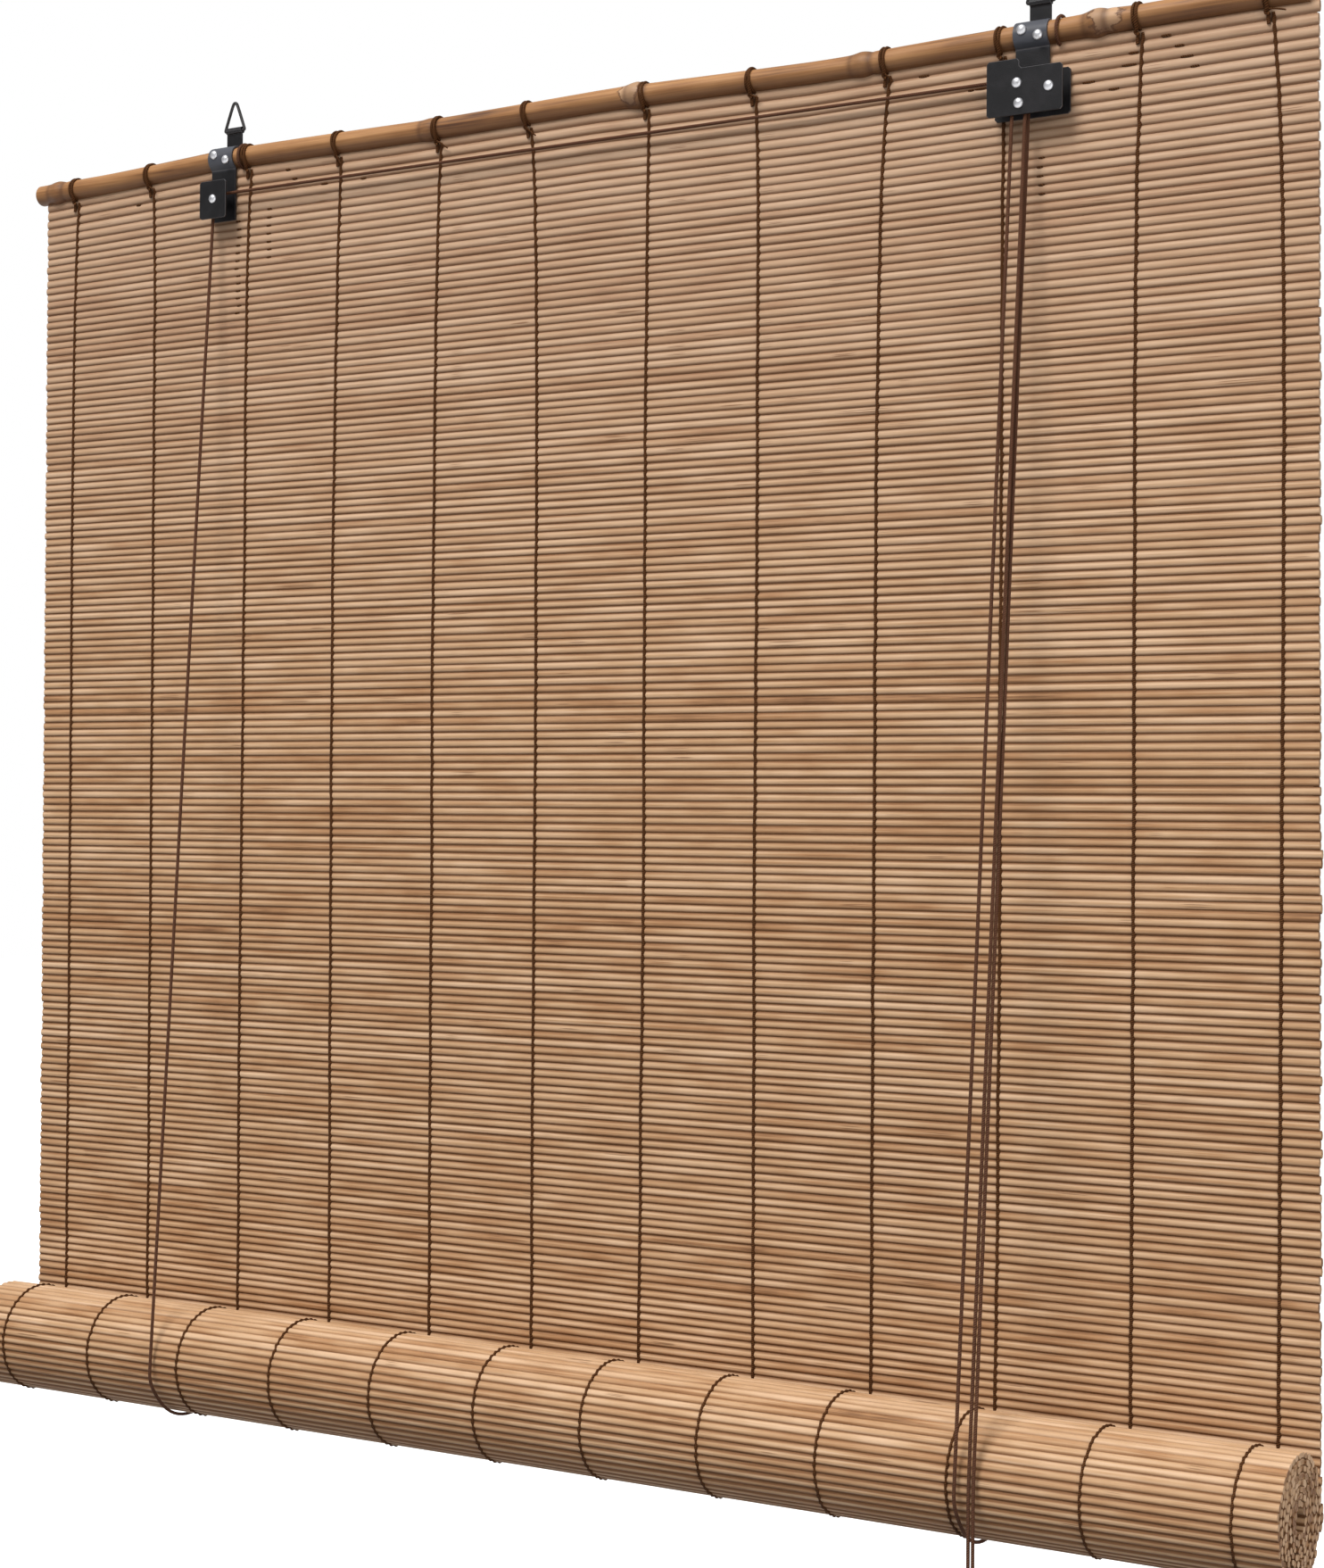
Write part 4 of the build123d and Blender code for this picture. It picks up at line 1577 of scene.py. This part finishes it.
@dataclass
class Cords:
    """Lift cords, the run between the brackets and the pull cords."""

    layout: Layout
    palette: Palette
    sides: int = 10
    anchor_offset: float = 0.014
    anchor_drop: float = 0.0082
    pull_half_gap: float = 0.0012
    knot_z: float = -0.79654
    knot_height: float = 0.009
    left_aside: float = 0.008
    right_aside: float = -0.0015
    sling_corners: tuple[float, ...] = (198.3, 244.5, 290.7, 336.9)
    corner_reach: float = 1.076
    end_radii: float = 12.0
    hitch_sides: int = 8
    hitch_slack: float = 0.0001
    hitch_lean: float = 0.0004
    knot_bite: float = 0.001
    tail_straight: float = 0.02
    wraps: tuple[tuple[float, float, float], ...] = (
        (0.0026, 0.0018, 0.0005), (0.0009, 0.0025, -0.0006),
        (-0.0008, 0.0025, 0.0006), (-0.0025, 0.0018, -0.0005))
    through_half_gap: float = 0.0011
    through_heights: tuple[float, ...] = (0.0045, 0.002, -0.002, -0.0044)

    @property
    def near(self) -> float:
        """Distance from a taut stretch's end to its next point, six diameters."""
        return self.end_radii * self.layout.cord_radius

    def tangent(self, y: float) -> float:
        """Angle on the roll where a cord from a pulley at this depth meets its front.

        Args:
            y: depth of the pulley.
        Returns:
            The angle in radians, from the back over the top.
        """
        across = y - self.layout.roll_y
        up = self.layout.axle_z - self.layout.mat_bottom
        return math.atan2(up, across) + math.acos(self.layout.sling_radius / math.hypot(across, up))

    def on_roll(self, x: float, angle: float, reach: float = 1.0) -> Point:
        """Point round the roll, its angle from the back over the top, its reach a share of the cord's own."""
        y, z, radius = self.layout.roll_y, self.layout.mat_bottom, self.layout.sling_radius * reach
        return (x, y + radius * math.cos(angle), z + radius * math.sin(angle))

    def run(self, name: str, route: Sequence[Point], side_on: Point, **declared: Any) -> bpy.types.Object:
        """Args:
            name: the piece's name.
            route: points of its spline.
            side_on: a direction that it never takes.
            **declared: far_end, lay and with_pieces of the cord; not used.
        Returns:
            The stretch.
        """
        line = Strand.spline(route)
        piece = Strand.tube(name, line, self.layout.cord_radius, self.sides, side_on)
        Bench.dress(piece, self.palette.cord, Slot.CORD)
        return piece

    def straight(self, start: Point, end: Point) -> list[Point]:
        """Route of a taut stretch, with a point near each end.

        Args:
            start: its upper end.
            end: its lower end.
        Returns:
            The route.
        """
        first, last = Vector(start), Vector(end)
        near = self.near / (last - first).length
        return [start, tuple(first.lerp(last, near)), tuple(last.lerp(first, near)), end]

    def lift(self, left: bool) -> Stretch:
        """Front strand of a lift cord.

        Args:
            left: whether it is the left one.
        Returns:
            Its stretch from the pulley to where it meets the roll.
        """
        layout = self.layout
        pulley, y, aside = ((layout.left_x, layout.left_pulley_y, self.left_aside) if left else
                            (layout.lock_axle_x, layout.lift_y, self.right_aside))
        x = pulley - layout.pulley_cord_radius
        return Stretch((x, y, layout.axle_z), self.on_roll(x + aside, self.tangent(y)))

    def pull(self, front: bool) -> Stretch:
        """Pull cord from the lock to the front of the roll.

        Args:
            front: whether it is the one over the front pulley.
        Returns:
            Its stretch.
        """
        layout = self.layout
        x = layout.lock_axle_x + layout.pulley_cord_radius
        y, step = (layout.lift_y, -self.pull_half_gap) if front else (layout.cross_y, self.pull_half_gap)
        return Stretch((x, y, layout.axle_z), self.on_roll(x + step, math.pi))

    def hang(self, piece: bpy.types.Object, node: str, top: Point, foot: Point) -> None:
        """Hangs a strand on the head in place of its node and gives it its own mesh.

        Args:
            piece: the strand.
            node: the node that it stands for.
            top: its upper end.
            foot: its lower end.
        """
        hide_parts(node)
        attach(piece, Body.HEAD.value)
        self.layout.keep(top[2], foot[2])
        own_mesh(piece)

    def build_lifts(self) -> None:
        """Lift cords: down the front, under the roll and up the back to their tied ends."""
        layout = self.layout
        turn = self.build_turn()
        for side, bracket, stretch, extras in (("left", layout.left_x, self.lift(True), []),
                                               ("right", layout.right_x, self.lift(False), [turn])):
            upper, lower, meets = stretch.upper(), stretch.lower(), stretch.foot
            leaves = self.on_roll(meets[0], 2 * math.pi)
            front = self.run(f"{side}_front_strand", self.straight(upper, lower), (0, 1, 0),
                             far_end="object", lay="taut", with_pieces=extras)
            self.hang(front, f"{side}_lift_front", upper, lower)
            corners = [self.on_roll(meets[0], math.radians(angle), self.corner_reach)
                       for angle in self.sling_corners]
            sling = self.run(f"{side}_sling", [lower, meets, *corners, leaves], (1, 0, 0), far_end="object",
                             lay="taut")
            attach(sling, Body.SLINGS.value)
            tied = (bracket + self.anchor_offset, layout.roll_y + layout.sling_radius,
                    layout.pole_z - self.anchor_drop)
            back = self.run(f"{side}_back_strand", self.straight(tied, leaves), (0, 1, 0),
                            far_end="object", lay="taut")
            self.hang(back, f"{side}_lift_back", tied, leaves)
        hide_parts("lift_slings")

    def build_turn(self) -> bpy.types.Object:
        """Right lift cord's turn over the lock's front pulley.

        Returns:
            The turn.
        """
        lift, pull = self.lift(False), self.pull(True)
        top = self.layout.axle_z + self.layout.pulley_cord_radius
        route = [lift.upper(), lift.top, (*lift.top[:2], top), (*pull.top[:2], top), pull.top, pull.upper()]
        line = Strand.spline(route)
        turn = Strand.tube("pulley_turn", line, self.layout.cord_radius, self.sides, (0, 1, 0))
        Bench.dress(turn, self.palette.cord, Slot.CORD)
        Bench.mount(turn, Body.HEAD)
        return turn

    def build_anchors(self, rise: Callable[[float], float]) -> None:
        """Tied ends of the lift cords round the pole.

        Args:
            rise: how far the pole bows up at a place.
        """
        layout, radius = self.layout, self.layout.cord_radius
        reach = layout.pole_radius + radius + self.hitch_slack
        pieces = []
        for bracket in (layout.left_x, layout.right_x):
            x = bracket + self.anchor_offset
            middle = Vector((x, layout.pole_y, layout.pole_z + rise(x)))
            hoop = Strand.hoop(middle, reach, self.hitch_lean)
            pieces.append(Strand.tube("hitch", hoop, radius, self.hitch_sides, (1, 0, 0), closed=True))
            foot = Vector((x, layout.roll_y + layout.sling_radius, layout.pole_z - self.anchor_drop))
            route = [middle + Vector((0.001, reach, -0.001)),
                     middle + Vector((0.0016, reach * 0.8, -reach * 0.7)),
                     foot + Vector((-0.0008, 0.0004, 0.0016)), foot]
            line = Strand.spline(route)
            pieces.append(Strand.tube("hitch_end", line, radius, self.hitch_sides, (0.9, 0.1, 0.1)))
        hitches = Bench.join(pieces, "cord_hitches")
        Bench.dress(hitches, self.palette.cord, Slot.CORD)
        Bench.mount(hitches, Body.HEAD, "cord_anchors")

    def build_head(self) -> None:
        """Run of the left cord along the mat's head to the lock."""
        lift, pull = self.lift(True), self.pull(False)
        top = self.layout.axle_z + self.layout.pulley_cord_radius
        route = [lift.upper(), lift.top, (*lift.top[:2], top), (lift.top[0] + self.near, lift.top[1], top),
                 (pull.top[0] - self.near, pull.top[1], top), (*pull.top[:2], top), pull.top, pull.upper()]
        cross = self.run("cross_run", route, (0, 1, 0), far_end="object", lay="taut")
        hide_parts("head_cords")
        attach(cross, Body.HEAD.value)

    def build_pulls(self) -> None:
        """Pull cords down from the lock, past the roll to their knot."""
        knot = self.build_knot(self.layout.lock_axle_x + self.layout.pulley_cord_radius)
        for name, stretch in (("front", self.pull(True)), ("rear", self.pull(False))):
            upper, lower, passing = stretch.upper(), stretch.lower(), stretch.foot
            strand = self.run(f"{name}_pull_strand", self.straight(upper, lower), (0, 1, 0),
                              far_end="object", lay="taut")
            self.hang(strand, f"{name}_pull_run", upper, lower)
            end = (*passing[:2], self.knot_z - self.knot_bite)
            route = [lower, passing, (*passing[:2], passing[2] - self.tail_straight),
                     (*end[:2], end[2] + self.tail_straight), end]
            tail = self.run(f"{name}_pull_end", route, (0, 1, 0), far_end="knot", lay="hanging",
                            with_pieces=[knot])
            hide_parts(f"{name}_pull_tail")
            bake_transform(tail)

    def build_knot(self, x: float) -> bpy.types.Object:
        """Overhand knot of both pull cords, with its cut ends.

        Args:
            x: place along the blind.
        Returns:
            The knot.
        """
        y, radius = self.layout.roll_y - self.layout.sling_radius, self.layout.cord_radius
        middle = Vector((x, y, self.knot_z - self.knot_height / 2))
        pieces = []
        for height, reach, lean in self.wraps:
            corners = [(reach, reach, height + lean), (-reach, reach, height),
                       (-reach, -reach, height - lean), (reach, -reach, height)]
            line = Strand.spline([middle + Vector(corner) for corner in corners], closed=True)
            pieces.append(Strand.tube("wrap", line, radius, self.hitch_sides, (0, 0, 1), closed=True))
        for side in (-self.through_half_gap, self.through_half_gap):
            line = Strand.spline([middle + Vector((side, 0, height)) for height in self.through_heights])
            pieces.append(Strand.tube("through", line, radius, self.hitch_sides, (0, 1, 0)))
        knot = Bench.join(pieces, "pull_cord_knot")
        Bench.dress(knot, self.palette.cord, Slot.CORD)
        Bench.mount(knot, Body.PULL_END, "pull_knot")
        return knot

    def build(self, rise: Callable[[float], float]) -> None:
        """Makes all cords.

        Args:
            rise: how far the pole bows up at a place.
        """
        self.build_lifts()
        self.build_anchors(rise)
        self.build_head()
        self.build_pulls()


# Studio

@dataclass(frozen=True)
class SoftLight:
    """A square soft light that hangs at a place and looks at a target."""

    name: str
    place: Point
    target: Point
    size: float
    watts: float

    def hang(self) -> None:
        """Hangs the light."""
        lamp = bpy.data.lights.new(self.name, "AREA")
        lamp.size = self.size
        lamp.energy = self.watts
        holder = bpy.data.objects.new(self.name, lamp)
        holder.location = self.place
        look = Vector(self.target) - Vector(self.place)
        holder.rotation_euler = look.to_track_quat("-Z", "Y").to_euler()
        bpy.context.collection.objects.link(holder)


@dataclass
class Studio:
    """Pale floor, soft lights and the camera of the photograph."""

    lights: tuple[SoftLight, ...] = (
        SoftLight("key", (-0.5, -2.6, 3.0), (0.0, 0.0, -0.4), 1.6, 160.0),
        SoftLight("fill", (2.6, -1.6, -0.2), (0.2, 0.0, -0.5), 2.0, 30.0))
    floor_z: float = -2.05
    floor_size: float = 40.0
    eye: Point = (0.8079, -1.2418, -0.4115)
    yaw: float = 31.681
    pitch: float = 0.439
    roll: float = 0.375
    lens: float = 63.01
    sensor: float = 36.0
    above: float = 0.75
    below: float = 0.06
    dim_from: float = -0.5
    bright_from: float = 0.9

    def build_floor(self) -> None:
        """Lays the floor far below the blind."""
        Bench.clear()
        bpy.ops.mesh.primitive_plane_add(size=self.floor_size, location=(0, 0, self.floor_z))
        floor = bpy.context.active_object
        floor.name = "studio_floor"
        bpy.ops.object.transform_apply(location=True, rotation=True, scale=True)
        floor.data.materials.append(FloorFinish().make())
        floor.visible_diffuse = False

    def build_lights(self) -> None:
        """Hangs the lights; the room is bright above, dim below and white to look at."""
        for light in self.lights:
            light.hang()
        world = bpy.data.worlds.new("bright_room")
        world.use_nodes = True
        nodes, links = world.node_tree.nodes, world.node_tree.links
        background = nodes["Background"]
        background.inputs["Color"].default_value = (1.0, 1.0, 1.0, 1.0)
        place = nodes.new("ShaderNodeTexCoord")
        axes = nodes.new("ShaderNodeSeparateXYZ")
        links.new(place.outputs["Generated"], axes.inputs[0])
        sky = nodes.new("ShaderNodeMapRange")
        for socket, value in (("From Min", self.dim_from), ("From Max", self.bright_from),
                              ("To Min", self.below), ("To Max", self.above)):
            sky.inputs[socket].default_value = value
        links.new(axes.outputs["Z"], sky.inputs["Value"])
        seen = nodes.new("ShaderNodeLightPath")
        strength = nodes.new("ShaderNodeMix")
        links.new(seen.outputs["Is Camera Ray"], strength.inputs[0])
        links.new(sky.outputs["Result"], strength.inputs[2])
        strength.inputs[3].default_value = 1.0
        links.new(strength.outputs[0], background.inputs["Strength"])
        bpy.context.scene.world = world
        bpy.context.scene.view_settings.view_transform = "Standard"

    def build_camera(self) -> None:
        """Stands the camera where the photograph was taken."""
        yaw, pitch, roll = (math.radians(v) for v in (self.yaw, self.pitch, self.roll))
        level = math.cos(pitch)
        ahead = Vector((-math.sin(yaw) * level, math.cos(yaw) * level, math.sin(pitch)))
        lens = bpy.data.cameras.new("photo_camera")
        lens.sensor_fit = "VERTICAL"
        lens.sensor_height = self.sensor
        lens.lens = self.lens
        camera = bpy.data.objects.new("photo_camera", lens)
        camera.location = self.eye
        upright = ahead.to_track_quat("-Z", "Y").to_matrix()
        camera.rotation_euler = (upright @ Matrix.Rotation(roll, 3, "Z")).to_euler()
        bpy.context.collection.objects.link(camera)
        bpy.context.scene.camera = camera

    def build(self) -> None:
        """Sets up the studio."""
        self.build_floor()
        self.build_lights()
        self.build_camera()


def main() -> None:
    """Builds the blind's looks, piece by piece."""
    layout = Layout()
    palette = Palette()
    reeds = Reeds(layout)
    pole = Pole(layout, palette)
    Studio().build()
    Cords(layout, palette).build(pole.rise)
    pole.build()
    HangingMat(layout, palette, reeds, pole.rise).build()
    RolledMat(layout, palette, reeds).build()
    Brackets(layout, palette).build()


if __name__ == "__main__":
    main()
